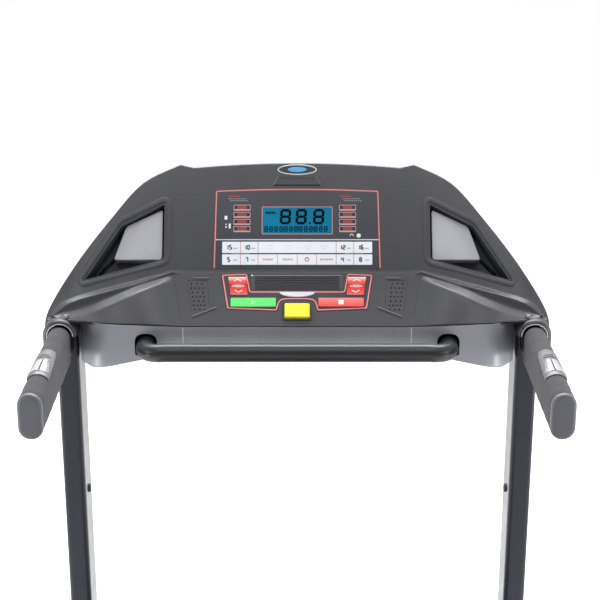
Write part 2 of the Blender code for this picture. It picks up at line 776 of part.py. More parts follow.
def motor_frame():
    def rail(bm):
        add_box(bm, (-0.300, 0.520, 0.100), (-0.288, 0.840, 0.130))

    obj = solid("motor_frame", "black_steel", rail, origin=LIFT_HEAD)
    parts = [
        ((0.288, 0.520, 0.100), (0.300, 0.840, 0.130)),
        ((-0.2885, 0.620, 0.1005), (0.2885, 0.740, 0.1065)),
        ((-0.2885, 0.815, 0.1010), (0.2885, 0.8395, 0.1295)),
        ((-0.2905, 0.508, 0.0435), (0.2905, 0.518, 0.0560)),
    ]
    for i, (low, high) in enumerate(parts):
        boolean(obj, helper("motor_frame_%d.weld" % i, lambda bm, a=low, b=high: add_box(bm, a, b)), "UNION")

    def ears(bm):
        for side in (-1, 1):
            x = side * 0.294 - 0.005
            outline = [
                (FRONT_ROLLER_Y - 0.020, 0.128), (FRONT_ROLLER_Y - 0.020, 0.150),
                (FRONT_ROLLER_Y + 0.014, 0.156), (0.540, 0.1295), (0.566, 0.1200), (0.566, 0.0560),
                (0.556, 0.0430), (0.506, 0.0430), (0.500, 0.1000), (0.480, 0.1150),
            ]
            add_prism(bm, [Vector((x, y, z)) for y, z in outline], Vector((0.010, 0, 0)))
    boolean(obj, helper("motor_frame_ears.weld", ears), "UNION")

    def tongue(bm):
        add_box(bm, (-0.032, STRUT_FOOT.y - 0.012, 0.0330), (-0.022, 0.512, 0.0550))
        add_box(bm, (0.022, STRUT_FOOT.y - 0.012, 0.0330), (0.032, 0.512, 0.0550))
    boolean(obj, helper("motor_frame_tongue.weld", tongue), "UNION")

    def motor_ears(bm):
        p = INCLINE_MOTOR_PIN
        for x0 in (p.x - 0.034, p.x + 0.026):
            add_box(bm, (x0, p.y - 0.012, 0.1290), (x0 + 0.008, p.y + 0.060, p.z + 0.014))
    boolean(obj, helper("motor_frame_lugs.weld", motor_ears), "UNION")

    def holes(bm):
        for side in (-1, 1):
            ends = sorted((side * 0.284, side * 0.304))
            add_cylinder(bm, (ends[0], LIFT_HEAD.y, LIFT_HEAD.z), (ends[1], LIFT_HEAD.y, LIFT_HEAD.z), 0.0158)
    boolean(obj, helper("motor_frame_holes.cut", holes), "DIFFERENCE")

    def pins(bm):
        """The two fold pins, the strut's foot pin and the incline motor's pin."""
        for side in (-1, 1):
            ends = sorted((side * 0.262, side * 0.292))
            add_cylinder(bm, (ends[0], FRONT_ROLLER_Y, ROLLER_Z), (ends[1], FRONT_ROLLER_Y, ROLLER_Z), 0.0060)
        for pin, half, radius in ((STRUT_FOOT, 0.034, 0.0040), (INCLINE_MOTOR_PIN, 0.036, 0.0048)):
            add_cylinder(bm, pin - Vector((half, 0, 0)), pin + Vector((half, 0, 0)), radius, 16)
    boolean(obj, helper("motor_frame_pins.weld", pins), "UNION")


def drive_train():
    def motor(bm):
        profile = [(0, 0.030), (0.006, 0.046), (0.010, 0.050), (0.150, 0.050), (0.156, 0.046), (0.162, 0.030)]
        add_turned(bm, (-0.060, MOTOR.y, MOTOR.z), (1, 0, 0), profile, 32)

    body = solid("drive_motor", "motor_steel", motor)

    def foot(bm):
        add_box(bm, (-0.030, MOTOR.y - 0.040, 0.1068), (0.080, MOTOR.y + 0.040, MOTOR.z - 0.030))
    weld(body, foot)

    def shaft(bm):
        profile = [
            (0.0, 0.022), (0.004, 0.019), (0.018, 0.019), (0.022, 0.022), (0.024, 0.010), (0.060, 0.010),
            (0.062, FLYWHEEL_R - 0.004), (0.066, FLYWHEEL_R), (0.100, FLYWHEEL_R),
            (0.104, FLYWHEEL_R - 0.004), (0.106, 0.012), (0.1705, 0.012),
        ]
        add_turned(bm, (-0.2345, MOTOR.y, MOTOR.z), (1, 0, 0), profile, 32)
    solid("motor_flywheel", "motor_steel", shaft, origin=MOTOR + Vector((-0.2, 0, 0)))

    def band(grow):
        """Outline of a belt around the motor pulley and the roller pulley, moved out by grow."""
        small, large = 0.0190 + grow, 0.0290 + grow
        a = Vector((MOTOR.y, MOTOR.z))
        b = Vector((FRONT_ROLLER_Y, ROLLER_Z))
        axis = b - a
        lean = math.atan2(axis.y, axis.x)
        spread = math.acos((small - large) / axis.length)
        points = []
        for centre, radius, first, last in (
            (a, small, lean + spread, lean + 2 * math.pi - spread),
            (b, large, lean - spread, lean + spread),
        ):
            for i in range(13):
                t = first + (last - first) * i / 12
                points.append(centre + Vector((radius * math.cos(t), radius * math.sin(t))))
        return points

    def belt(bm):
        ring = [Vector((-0.2300, p.x, p.y)) for p in band(0.0028)]
        add_prism(bm, ring, Vector((0.0120, 0, 0)))
    obj = solid("drive_belt", "black_rubber", belt)

    def inside(bm):
        ring = [Vector((-0.2400, p.x, p.y)) for p in band(0.0006)]
        add_prism(bm, ring, Vector((0.0400, 0, 0)))
    cut(obj, inside)

    obj = solid("motor_controller", "motor_steel",
                lambda bm: add_box(bm, (-0.080, 0.755, 0.1305), (0.120, 0.812, 0.1700)))

    def fins(bm):
        for i in range(9):
            x = -0.076 + i * 0.0235
            add_box(bm, (x, 0.757, 0.1690), (x + 0.004, 0.810, 0.1950))
    weld(obj, fins)


def incline_drive():
    p, n = INCLINE_MOTOR_PIN, INCLINE_NUT_PIN
    along = (n - p).normalized()

    def body(bm):
        profile = [(-0.010, 0.013), (0.018, 0.013), (0.020, 0.025), (0.086, 0.025), (0.090, 0.014),
                   (0.128, 0.014)]
        add_turned(bm, p, along, profile)
    motor = solid("incline_motor", "motor_steel", body, origin=p)

    def bores(bm):
        add_cylinder(bm, p + along * 0.040, p + along * 0.140, 0.0096)
        add_cylinder(bm, p + Vector((-0.03, 0, 0)), p + Vector((0.03, 0, 0)), 0.0053, 16)
    cut(motor, bores)

    def tube(bm):
        add_cylinder(bm, n - along * 0.106, n + along * 0.010, 0.0090, 20)
    solid("incline_screw_tube", "zinc_steel", tube, origin=n)


HOOD_OUTLINE = [
    (0.520, 0.170), (0.524, 0.196), (0.548, 0.232), (0.600, 0.250), (0.740, 0.254), (0.800, 0.240),
    (0.840, 0.206), (0.856, 0.150), (0.856, 0.098), (0.520, 0.098),
]


def motor_hood():
    half = 0.324

    def outer(bm):
        ring = [Vector((-half, y, z)) for y, z in HOOD_OUTLINE]
        add_prism(bm, ring, Vector((2 * half, 0, 0)))
    obj = solid("motor_hood", "charcoal_plastic", outer)
    cx = 0.690
    inner = [(cx + (y - cx) * 0.982, z - 0.003 if z > 0.12 else 0.080) for y, z in HOOD_OUTLINE]

    def hollow(bm):
        ring = [Vector((-half + 0.004, y, z)) for y, z in inner]
        add_prism(bm, ring, Vector((2 * half - 0.008, 0, 0)))
    cut(obj, hollow)

    def rear_mouth(bm):
        """Room behind the hood for the drive belt and the frame's ears."""
        add_box(bm, (-0.3045, 0.500, 0.080), (-0.2845, 0.560, 0.165))
        add_box(bm, (0.2845, 0.500, 0.080), (0.3045, 0.560, 0.165))
        add_box(bm, (-0.2400, 0.500, 0.080), (-0.2100, 0.560, 0.192))
    cut(obj, rear_mouth)

    def inlet(bm):
        add_box(bm, (-0.2305, 0.840, 0.1195), (-0.1795, 0.870, 0.1505))
    cut(obj, inlet)
    solid("mains_inlet", "dark_plastic",
          lambda bm: add_box(bm, (-0.2300, 0.8420, 0.1200), (-0.2060, 0.8590, 0.1500)))

    def rocker(bm):
        add_box(bm, (-0.2020, 0.8450, 0.1220), (-0.1820, 0.8600, 0.1480))
    solid("power_switch", "red_key", rocker, origin=Vector((-0.192, 0.850, 0.135)))


# ---------------------------------------------------------------- deck
def deck_frame():
    def rail(bm):
        add_box(bm, (-0.280, -0.850, 0.080), (-0.252, 0.484, 0.128))

    obj = solid("deck_frame", "black_steel", rail, origin=Vector((0, FRONT_ROLLER_Y, ROLLER_Z)))
    parts = [
        ((0.252, -0.850, 0.080), (0.280, 0.484, 0.128)),
        ((-0.2525, -0.120, 0.0810), (0.2525, -0.080, 0.1010)),
        ((-0.2525, -0.760, 0.0810), (0.2525, -0.720, 0.1010)),
        ((-0.2525, 0.380, 0.0810), (0.2525, 0.410, 0.1010)),
    ]
    for side in (-1, 1):
        xs = sorted((side * 0.2525, side * 0.2795))
        parts.append(((xs[0], 0.436, 0.1270), (xs[1], 0.4835, 0.1540)))
        parts.append(((xs[0], -0.8495, 0.1270), (xs[1], -0.796, 0.1540)))
    for i, (low, high) in enumerate(parts):
        boolean(obj, helper("deck_frame_%d.weld" % i, lambda bm, a=low, b=high: add_box(bm, a, b)), "UNION")

    def lugs(bm):
        for x0 in (-0.018, 0.012):
            add_box(bm, (x0, STRUT_HEAD.y - 0.014, STRUT_HEAD.z - 0.012),
                    (x0 + 0.006, STRUT_HEAD.y + 0.014, 0.0820))
    boolean(obj, helper("deck_lugs.weld", lugs), "UNION")

    def studs(bm):
        """Board mounts on the rails, and the two rear feet under them."""
        for side in (-1, 1):
            for i in range(4):
                start = Vector((side * 0.266, -0.700 + i * 0.350, 0.1270))
                add_cylinder(bm, start, start + Vector((0, 0, 0.0147)), 0.0125, 12)
            add_turned(bm, (side * 0.266, -0.780, 0), (0, 0, 1),
                       [(0, 0.020), (0.006, 0.023), (0.024, 0.020), (0.026, 0.009), (0.0810, 0.009)], 14)
    boolean(obj, helper("deck_studs.weld", studs), "UNION")

    def holes(bm):
        for side in (-1, 1):
            ends = sorted((side * 0.248, side * 0.284))
            for y in (FRONT_ROLLER_Y, REAR_ROLLER_Y):
                add_cylinder(bm, (ends[0], y, ROLLER_Z), (ends[1], y, ROLLER_Z), 0.0068, 24)
    boolean(obj, helper("deck_holes.cut", holes), "DIFFERENCE")


def rollers():
    def front(bm):
        profile = [
            (0, 0.0060), (0.0095, 0.0060), (0.0097, 0.0290), (0.0237, 0.0290), (0.0240, ROLLER_R),
            (0.4800, ROLLER_R), (0.4802, 0.0060), (0.4960, 0.0060),
        ]
        add_turned(bm, (-0.2480, FRONT_ROLLER_Y, ROLLER_Z), (1, 0, 0), profile, 32)
    solid("front_roller", "zinc_steel", front, origin=Vector((0, FRONT_ROLLER_Y, ROLLER_Z)))

    def rear(bm):
        profile = [(0, 0.0060), (0.0250, 0.0060), (0.0252, ROLLER_R), (0.4950, ROLLER_R), (0.4952, 0.0060),
                   (0.5200, 0.0060)]
        add_turned(bm, (-0.2600, REAR_ROLLER_Y, ROLLER_Z), (1, 0, 0), profile, 32)
    solid("rear_roller", "zinc_steel", rear, origin=Vector((0, REAR_ROLLER_Y, ROLLER_Z)))


def belt_loop(grow):
    """The belt's path around both rollers, moved out by grow, in the Y-Z plane."""
    points = []
    steps = 12
    for centre, first in ((FRONT_ROLLER_Y, -90), (REAR_ROLLER_Y, 90)):
        for i in range(steps + 1):
            a = math.radians(first + 180 * i / steps)
            reach = ROLLER_R + grow
            points.append((centre + reach * math.cos(a), ROLLER_Z + reach * math.sin(a)))
    return points


def running_gear():
    def belt(bm):
        ring = [Vector((-BELT_HALF_W, y, z)) for y, z in belt_loop(0.0004 + BELT_T)]
        add_prism(bm, ring, Vector((2 * BELT_HALF_W, 0, 0)))
    obj = solid("running_belt", "running_belt", belt)

    def inside(bm):
        ring = [Vector((-BELT_HALF_W - 0.01, y, z)) for y, z in belt_loop(0.0004)]
        add_prism(bm, ring, Vector((2 * BELT_HALF_W + 0.02, 0, 0)))
    cut(obj, inside)

    solid("running_board", "deck_board",
          lambda bm: add_box(bm, (-0.276, -0.785, 0.1420), (0.276, 0.425, 0.1600)))


def side_rails():
    for side, label in ((-1, "left"), (1, "right")):
        inner = side * 0.214
        outer = side * 0.345
        profile = [
            (inner, 0.1665), (inner, 0.1800), (inner + side * 0.010, 0.1870), (outer - side * 0.014, 0.1870),
            (outer - side * 0.004, 0.1830), (outer, 0.1730), (outer, 0.0900), (outer - side * 0.004, 0.0900),
            (outer - side * 0.004, 0.1665),
        ]
        rail = solid(
            label + "_side_rail", "grey_plastic",
            lambda bm, p=profile: add_prism(
                bm, [Vector((x, -0.8000, z)) for x, z in p], Vector((0, 1.2500, 0))),
        )

        def drive_belt_notch(bm, side=side):
            xs = sorted((side * 0.2100, side * 0.2405))
            add_box(bm, (xs[0], 0.3950, 0.1600), (xs[1], 0.4600, 0.1900))
        cut(rail, drive_belt_notch)

    for side, label in ((-1, "left"), (1, "right")):
        def rear_wall(bm, side=side):
            xs = sorted((side * 0.214, side * 0.3460))
            add_box(bm, (xs[0], -LENGTH / 2, 0.0700), (xs[1], -0.8540, 0.1880))
        cap = solid(label + "_end_cap", "charcoal_plastic", rear_wall)

        def roof(bm, side=side):
            xs = sorted((side * 0.2145, side * 0.3455))
            add_box(bm, (xs[0], -0.8600, 0.1665), (xs[1], -0.8003, 0.1875))
        weld(cap, roof)

        def skirt(bm, side=side):
            xs = sorted((side * 0.3410, side * 0.3458))
            add_box(bm, (xs[0], -0.8600, 0.0705), (xs[1], -0.8004, 0.1700))
        boolean(cap, helper(label + "_end_cap_skirt.weld", skirt), "UNION")


def strut():
    along = (STRUT_HEAD - STRUT_FOOT).normalized()
    length = (STRUT_HEAD - STRUT_FOOT).length

    def cylinder(bm):
        profile = [(-0.010, 0.009), (0.018, 0.009), (0.022, 0.011), (0.300, 0.011)]
        add_turned(bm, STRUT_FOOT, along, profile)
    obj = solid("strut_cylinder", "black_steel", cylinder, origin=STRUT_FOOT)

    def bores(bm):
        add_cylinder(bm, STRUT_FOOT + along * 0.030, STRUT_FOOT + along * 0.320, 0.0066, 16)
        add_cylinder(bm, STRUT_FOOT + Vector((-0.03, 0, 0)), STRUT_FOOT + Vector((0.03, 0, 0)), 0.0047, 16)
    cut(obj, bores)

    def rod(bm):
        add_cylinder(bm, STRUT_FOOT + along * 0.045, STRUT_FOOT + along * (length - 0.004), 0.0060, 16)
    rod_obj = solid("strut_rod", "zinc_steel", rod, origin=STRUT_HEAD)
    boolean(rod_obj, helper("rod_eye.weld", lambda bm: add_cylinder(
        bm, STRUT_HEAD + Vector((-0.007, 0, 0)), STRUT_HEAD + Vector((0.007, 0, 0)), 0.009, 20)), "UNION")


def main():
    clear_scene()
    upper_shell()
    lower_shell()
    back_cover()
    trays()
    display_parts()
    control_parts()
    display_board()
    fan()
    speaker_grilles()
    handles()
    grip_fittings()
    front_bar()
    uprights()
    base_frame()
    transport_wheels()
    base_pins()
    lift_frame()
    motor_frame()
    drive_train()
    incline_drive()
    motor_hood()
    deck_frame()
    rollers()
    running_gear()
    side_rails()
    strut()


main()
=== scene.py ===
"""Looks of the folding treadmill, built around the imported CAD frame.

Metres, +Z up, the user stands at -Y and faces +Y. Console points are given from CONSOLE, the part's
console reference point, and points on its two faces as (across, up the slope, out of the face).
"""

import json
import math

import bmesh
import bpy
from mathutils import Matrix, Vector
from mathutils.bvhtree import BVHTree

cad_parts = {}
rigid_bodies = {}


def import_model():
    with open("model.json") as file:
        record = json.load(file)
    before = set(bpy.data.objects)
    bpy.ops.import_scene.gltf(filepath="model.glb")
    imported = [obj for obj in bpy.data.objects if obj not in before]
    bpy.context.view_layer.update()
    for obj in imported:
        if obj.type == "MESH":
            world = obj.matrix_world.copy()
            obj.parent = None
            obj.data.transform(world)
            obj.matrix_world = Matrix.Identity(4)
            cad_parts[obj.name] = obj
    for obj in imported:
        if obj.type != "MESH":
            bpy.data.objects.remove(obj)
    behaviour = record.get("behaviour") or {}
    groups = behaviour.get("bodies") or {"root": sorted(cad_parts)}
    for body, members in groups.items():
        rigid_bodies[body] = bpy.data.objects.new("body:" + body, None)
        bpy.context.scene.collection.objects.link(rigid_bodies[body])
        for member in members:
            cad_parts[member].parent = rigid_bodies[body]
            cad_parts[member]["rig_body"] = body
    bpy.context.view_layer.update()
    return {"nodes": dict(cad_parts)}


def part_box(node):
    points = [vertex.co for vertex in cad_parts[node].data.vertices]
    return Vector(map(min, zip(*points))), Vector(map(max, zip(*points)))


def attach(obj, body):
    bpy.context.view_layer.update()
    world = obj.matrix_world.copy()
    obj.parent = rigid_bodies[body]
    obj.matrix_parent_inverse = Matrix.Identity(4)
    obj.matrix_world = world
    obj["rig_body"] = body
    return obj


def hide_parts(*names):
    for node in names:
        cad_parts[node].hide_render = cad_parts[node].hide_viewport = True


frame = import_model()
nodes = frame["nodes"]

# ---------------------------------------------------------------- driving dimensions, as in the part
UPRIGHT_LOW, UPRIGHT_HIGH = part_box("right_upright")
HANDLE_LOW, HANDLE_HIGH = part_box("right_handle_tube")
GRIP_LOW, GRIP_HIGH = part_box("right_grip")
CAP_LOW, CAP_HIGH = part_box("right_grip_cap")
BAR_LOW, BAR_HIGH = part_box("front_bar")
BELT_LOW, BELT_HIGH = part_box("running_belt")
HOOD_LOW, HOOD_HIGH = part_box("motor_hood")

CONSOLE = Vector((0.0, 0.490, 1.170))
UPPER_SLOPE = math.radians(60)
LOWER_SLOPE = math.radians(40)
UPPER_ORIGIN = CONSOLE + Vector((0, 0.0885, 0.0290))
LOWER_ORIGIN = CONSOLE + Vector((0, 0.0, -0.0490))
BACK_FOOT = Vector((0.170, -0.100))
BACK_HEAD = Vector((0.216, 0.190))
WALL = 0.003
HANDLE_X = (HANDLE_LOW.x + HANDLE_HIGH.x) / 2
HANDLE_Z = (HANDLE_LOW.z + HANDLE_HIGH.z) / 2
SIDES = ((-1, "left"), (1, "right"))


# ---------------------------------------------------------------- materials
class Nodes:
    """A material's node tree with short ways to add and link nodes."""

    def __init__(self, name):
        self.mat = bpy.data.materials.new(name)
        self.mat.use_nodes = True
        self.tree = self.mat.node_tree
        self.shader = self.tree.nodes["Principled BSDF"]
        self.coords = self.add("ShaderNodeTexCoord")

    def add(self, kind, **inputs):
        node = self.tree.nodes.new(kind)
        for key, value in inputs.items():
            node.inputs[key.replace("_", " ")].default_value = value
        return node

    def link(self, source, target):
        self.tree.links.new(source, target)

    def noise(self, scale, stretch=(1, 1, 1), detail=2.0):
        place = self.add("ShaderNodeMapping", Scale=stretch)
        self.link(self.coords.outputs["Object"], place.inputs["Vector"])
        node = self.add("ShaderNodeTexNoise", Scale=scale, Detail=detail)
        self.link(place.outputs["Vector"], node.inputs["Vector"])
        return node.outputs["Fac"]

    def cells(self, scale, stretch=(1, 1, 1)):
        place = self.add("ShaderNodeMapping", Scale=stretch)
        self.link(self.coords.outputs["Object"], place.inputs["Vector"])
        node = self.add("ShaderNodeTexVoronoi", Scale=scale)
        self.link(place.outputs["Vector"], node.inputs["Vector"])
        return node.outputs["Distance"]

    def between(self, factor, low, high, spread=(0.3, 0.7)):
        """Two colours, mixed by a factor."""
        ramp = self.add("ShaderNodeValToRGB")
        ramp.color_ramp.elements[0].position, ramp.color_ramp.elements[1].position = spread
        ramp.color_ramp.elements[0].color = (*low, 1)
        ramp.color_ramp.elements[1].color = (*high, 1)
        self.link(factor, ramp.inputs["Fac"])
        return ramp.outputs["Color"]

    def roughness(self, factor, middle, spread):
        span = self.add("ShaderNodeMapRange", To_Min=middle - spread, To_Max=middle + spread)
        self.link(factor, span.inputs["Value"])
        self.link(span.outputs["Result"], self.shader.inputs["Roughness"])

    def bump(self, height, strength, distance=0.0004):
        node = self.add("ShaderNodeBump", Strength=strength, Distance=distance)
        self.link(height, node.inputs["Height"])
        self.link(node.outputs["Normal"], self.shader.inputs["Normal"])


def shade(colour, amount):
    return tuple(min(1.0, c * amount) for c in colour)


def finish_of(name, colour, rough, metallic=0.0, drift=0.10, grain=1400, bump=0.10, stretch=(1, 1, 1),
              coat=0.0, sheen=0.0, specular=0.5, rough_spread=0.06):
    """A moulded, painted or brushed surface: slow colour drift, uneven gloss and a fine grain."""
    made = Nodes(name)
    slow = made.noise(7.0)
    colour_out = made.between(slow, shade(colour, 1 - drift), shade(colour, 1 + drift))
    made.link(colour_out, made.shader.inputs["Base Color"])
    made.roughness(made.noise(45.0, stretch), rough, rough_spread)
    made.bump(made.noise(grain, stretch, 1.0), bump)
    made.shader.inputs["Metallic"].default_value = metallic
    made.shader.inputs["Coat Weight"].default_value = coat
    made.shader.inputs["Coat Roughness"].default_value = 0.12
    made.shader.inputs["Sheen Weight"].default_value = sheen
    made.shader.inputs["Specular IOR Level"].default_value = specular
    return made.mat


def belt_material():
    """Black belt cloth: a close diamond emboss and a slow, uneven dusty tone."""
    made = Nodes("belt_cloth")
    diamonds = made.cells(420.0, (1.0, 0.6, 1.0))
    dust = made.noise(16.0, (1, 0.3, 1), 4.0)
    colour = made.between(dust, (0.012, 0.012, 0.013), (0.026, 0.026, 0.027))
    made.link(colour, made.shader.inputs["Base Color"])
    made.roughness(dust, 0.80, 0.10)
    made.bump(diamonds, 0.55, 0.0008)
    return made.mat


def foam_material():
    """Closed-cell foam: fine open pores over a soft uneven skin."""
    made = Nodes("foam_skin")
    pores = made.cells(900.0)
    soft = made.noise(30.0, (1, 1, 1), 3.0)
    colour = made.between(soft, (0.043, 0.043, 0.047), (0.056, 0.056, 0.061))
    made.link(colour, made.shader.inputs["Base Color"])
    made.roughness(soft, 0.86, 0.06)
    made.bump(pores, 0.35, 0.0006)
    made.shader.inputs["Sheen Weight"].default_value = 0.04
    made.shader.inputs["Specular IOR Level"].default_value = 0.3
    return made.mat


def board_material():
    """Fibreboard: brown, streaked with a fibre grain."""
    made = Nodes("deck_fibre")
    fibre = made.noise(220.0, (1, 1, 6), 3.0)
    colour = made.between(fibre, (0.17, 0.11, 0.065), (0.27, 0.19, 0.12))
    made.link(colour, made.shader.inputs["Base Color"])
    made.roughness(fibre, 0.62, 0.08)
    made.bump(fibre, 0.3)
    return made.mat


def faded_red(name, stops):
    """Printed red that fades towards pale pink along the key's height."""
    made = Nodes(name)
    split = made.add("ShaderNodeSeparateXYZ")
    made.link(made.coords.outputs["Generated"], split.inputs["Vector"])
    ramp = made.add("ShaderNodeValToRGB")
    first, last = ramp.color_ramp.elements
    (first.position, first.color), (last.position, last.color) = stops[0], stops[-1]
    for position, colour in stops[1:-1]:
        ramp.color_ramp.elements.new(position).color = colour
    made.link(split.outputs["Z"], ramp.inputs["Fac"])
    made.link(ramp.outputs["Color"], made.shader.inputs["Base Color"])
    made.roughness(made.noise(60.0), 0.34, 0.05)
    made.bump(made.noise(1500.0), 0.05)
    return made.mat


RED = (0.73, 0.032, 0.022, 1)
PINK = (0.93, 0.60, 0.57, 1)
CHARCOAL = finish_of("charcoal_moulding", (0.043, 0.044, 0.050), 0.38, drift=0.07, grain=1600, bump=0.16)
METAL_GREY = finish_of("satin_grey_paint", (0.300, 0.305, 0.335), 0.40, metallic=0.45, drift=0.10,
                       grain=2200, bump=0.10, stretch=(1, 1, 3))
DARK = finish_of("black_moulding", (0.020, 0.021, 0.024), 0.48, grain=1500, bump=0.12)
# The pale grey of the tray plates is painted reflection: it stands for the lit pocket walls.
TRAY_PAINTED_REFLECTION = finish_of("tray_mat_grey", (0.500, 0.500, 0.540), 0.42, drift=0.10, grain=1200, bump=0.10)
TRAY_WALL = finish_of("tray_wall_slate", (0.048, 0.052, 0.062), 0.42, grain=1500, bump=0.12)
FILM = finish_of("overlay_slate", (0.036, 0.041, 0.051), 0.32, drift=0.08, grain=2600, bump=0.06)
WHITE_FILM = finish_of("white_key_film", (0.84, 0.87, 0.94), 0.36, drift=0.05, grain=2200, bump=0.05)
PRINT_RED = finish_of("print_red", (0.46, 0.035, 0.035), 0.40, bump=0.03)
PRINT_PINK = finish_of("print_pink", (0.66, 0.29, 0.28), 0.40, bump=0.03)
# Silver print. On the handle collars' inner rings it is painted highlight.
SILVER_PRINT_AND_HIGHLIGHT = finish_of("silver_print_and_painted_highlight", (0.62, 0.63, 0.70), 0.35, bump=0.03)
PRINT_WHITE = finish_of("print_white", (0.80, 0.81, 0.84), 0.40, bump=0.03)
PRINT_GREY = finish_of("print_grey", (0.26, 0.26, 0.29), 0.45, bump=0.03)
PRINT_BLACK = finish_of("print_black", (0.010, 0.011, 0.014), 0.35, bump=0.03)
LCD_TEAL = finish_of("lcd_teal", (0.002, 0.185, 0.325), 0.30, drift=0.14, grain=2600, bump=0.02, specular=0.10)
LCD_INK = finish_of("lcd_ink", (0.0010, 0.002, 0.006), 0.40, bump=0.02, specular=0.05)
GREEN_KEY = finish_of("green_key_film", (0.115, 0.680, 0.150), 0.34, drift=0.16, grain=1800, bump=0.05)
GREEN_MARK = finish_of("green_key_mark", (0.260, 0.760, 0.300), 0.36, bump=0.03)
YELLOW_KEY = finish_of("yellow_key_moulding", (0.86, 0.80, 0.040), 0.38, drift=0.05, grain=1500, bump=0.10)
# Grip-cap grey. On the speaker ribs it is painted highlight.
CAP_GREY_AND_RIB_HIGHLIGHT = finish_of("grip_cap_moulding", (0.115, 0.117, 0.135), 0.55, drift=0.06, grain=1300, bump=0.18)
HOUSING_GREY = finish_of("sensor_housing_grey", (0.122, 0.124, 0.134), 0.42, grain=1400, bump=0.12)
SENSOR_STEEL = finish_of("sensor_steel", (0.780, 0.780, 0.790), 0.26, metallic=1.0, drift=0.04, grain=500,
                         bump=0.05, stretch=(8, 1, 8))
SATIN_BLACK = finish_of("satin_black_paint", (0.022, 0.024, 0.027), 0.36, metallic=0.15, drift=0.08,
                        grain=900, bump=0.02, rough_spread=0.02)
UPRIGHT_PAINT = finish_of("upright_paint", (0.020, 0.024, 0.033), 0.30, metallic=0.0, drift=0.07,
                          grain=1100, bump=0.03, specular=0.32)
POWDER_BLACK = finish_of("black_powder_coat", (0.026, 0.027, 0.030), 0.50, metallic=0.1, drift=0.14,
                         grain=1000, bump=0.30)
ZINC = finish_of("zinc_plate", (0.560, 0.570, 0.590), 0.34, metallic=1.0, drift=0.12, grain=300, bump=0.08,
                 stretch=(1, 6, 6), rough_spread=0.10)
MOTOR_CASE = finish_of("motor_case", (0.100, 0.104, 0.115), 0.42, metallic=0.6, drift=0.14, grain=700, bump=0.15)
RUBBER = finish_of("black_rubber", (0.018, 0.018, 0.019), 0.84, drift=0.20, grain=800, bump=0.35, sheen=0.1)
CIRCUIT = finish_of("solder_mask_green", (0.015, 0.150, 0.060), 0.42, drift=0.2, grain=260, bump=0.25)
RAIL_GREY = finish_of("side_rail_grey", (0.215, 0.220, 0.240), 0.44, drift=0.08, grain=1500, bump=0.18)
RED_SWITCH = finish_of("switch_red", (0.560, 0.020, 0.020), 0.32, bump=0.05)
# Pink print of the key frames. Its strip along each key's lower edge is painted highlight.
FRAME_PINK_AND_HIGHLIGHT = finish_of("dull_pink_print_and_painted_highlight", (0.56, 0.36, 0.36), 0.40, bump=0.03)
DARK_RED = finish_of("print_dark_red", (0.33, 0.035, 0.035), 0.40, bump=0.03)
BADGE_BLUE = finish_of("badge_blue", (0.060, 0.400, 0.740), 0.30, bump=0.03)
LED_GREEN = finish_of("led_green", (0.35, 0.95, 0.35), 0.25, bump=0.02)
UP_RED = faded_red("up_key_red", [(0.20, RED), (0.60, (0.76, 0.080, 0.060, 1)), (1.0, PINK)])
DOWN_RED = faded_red("down_key_red", [(0.0, PINK), (0.40, (0.76, 0.080, 0.060, 1)), (0.80, RED)])
STOP_RED = faded_red("stop_key_red", [(0.0, RED), (0.50, (0.78, 0.10, 0.08, 1)), (1.0, (0.80, 0.22, 0.20, 1))])
BELT_CLOTH = belt_material()
FOAM = foam_material()
BOARD = board_material()


# ---------------------------------------------------------------- lines and outlines
def flat(points):
    return [Vector(p) for p in points]


def soften(line, reach, steps=4, closed=True):
    """Rounds a line's corners with short curves; reach is how far from each corner they start."""
    count = len(line)
    reaches = reach if isinstance(reach, (list, tuple)) else [reach] * count
    result = []
    for i, corner in enumerate(line):
        if reaches[i] <= 0 or (not closed and i in (0, count - 1)):
            result.append(corner.copy())
            continue
        before, after = line[i - 1] - corner, line[(i + 1) % count] - corner
        start = corner + before.normalized() * min(reaches[i], before.length * 0.47)
        end = corner + after.normalized() * min(reaches[i], after.length * 0.47)
        for k in range(steps + 1):
            t = k / steps
            result.append(start * (1 - t) ** 2 + corner * 2 * t * (1 - t) + end * t ** 2)
    return result


def beside(line, distance, closed=True):
    """A 2-D line moved to the right of its direction: outward, for an anticlockwise outline."""
    count = len(line)
    result = []
    for i, p in enumerate(line):
        into = p - line[i - 1] if closed or i > 0 else line[1] - p
        away = line[(i + 1) % count] - p if closed or i < count - 1 else into
        a, b = into.normalized(), away.normalized()
        side = Vector((a.y + b.y, -a.x - b.x)).normalized()
        result.append(p + side * distance / max(0.5, side.dot(Vector((a.y, -a.x)))))
    return result


def box_outline(x0, y0, x1, y1, radius=0.0, steps=4):
    corners = flat([(x0, y0), (x1, y0), (x1, y1), (x0, y1)])
    return soften(corners, radius, steps) if radius > 0 else corners


def circle(x, y, radius, sides=20):
    turn = 2 * math.pi / sides
    return [Vector((x + radius * math.cos(i * turn), y + radius * math.sin(i * turn))) for i in range(sides)]


def mirror(outline):
    """The outline across the centre line, still anticlockwise."""
    return [Vector((-p.x, *p[1:])) for p in outline][::-1]


def sided(outline, side):
    return outline if side > 0 else mirror(outline)


def stadium(half_w, half_h, steps=10):
    """An upright slot shape, anticlockwise."""
    rise = half_h - half_w
    points = []
    for middle, first in ((rise, 0), (-rise, 180)):
        for i in range(steps + 1):
            a = math.radians(first + 180 * i / steps)
            points.append(Vector((half_w * math.cos(a), middle + half_w * math.sin(a))))
    return points


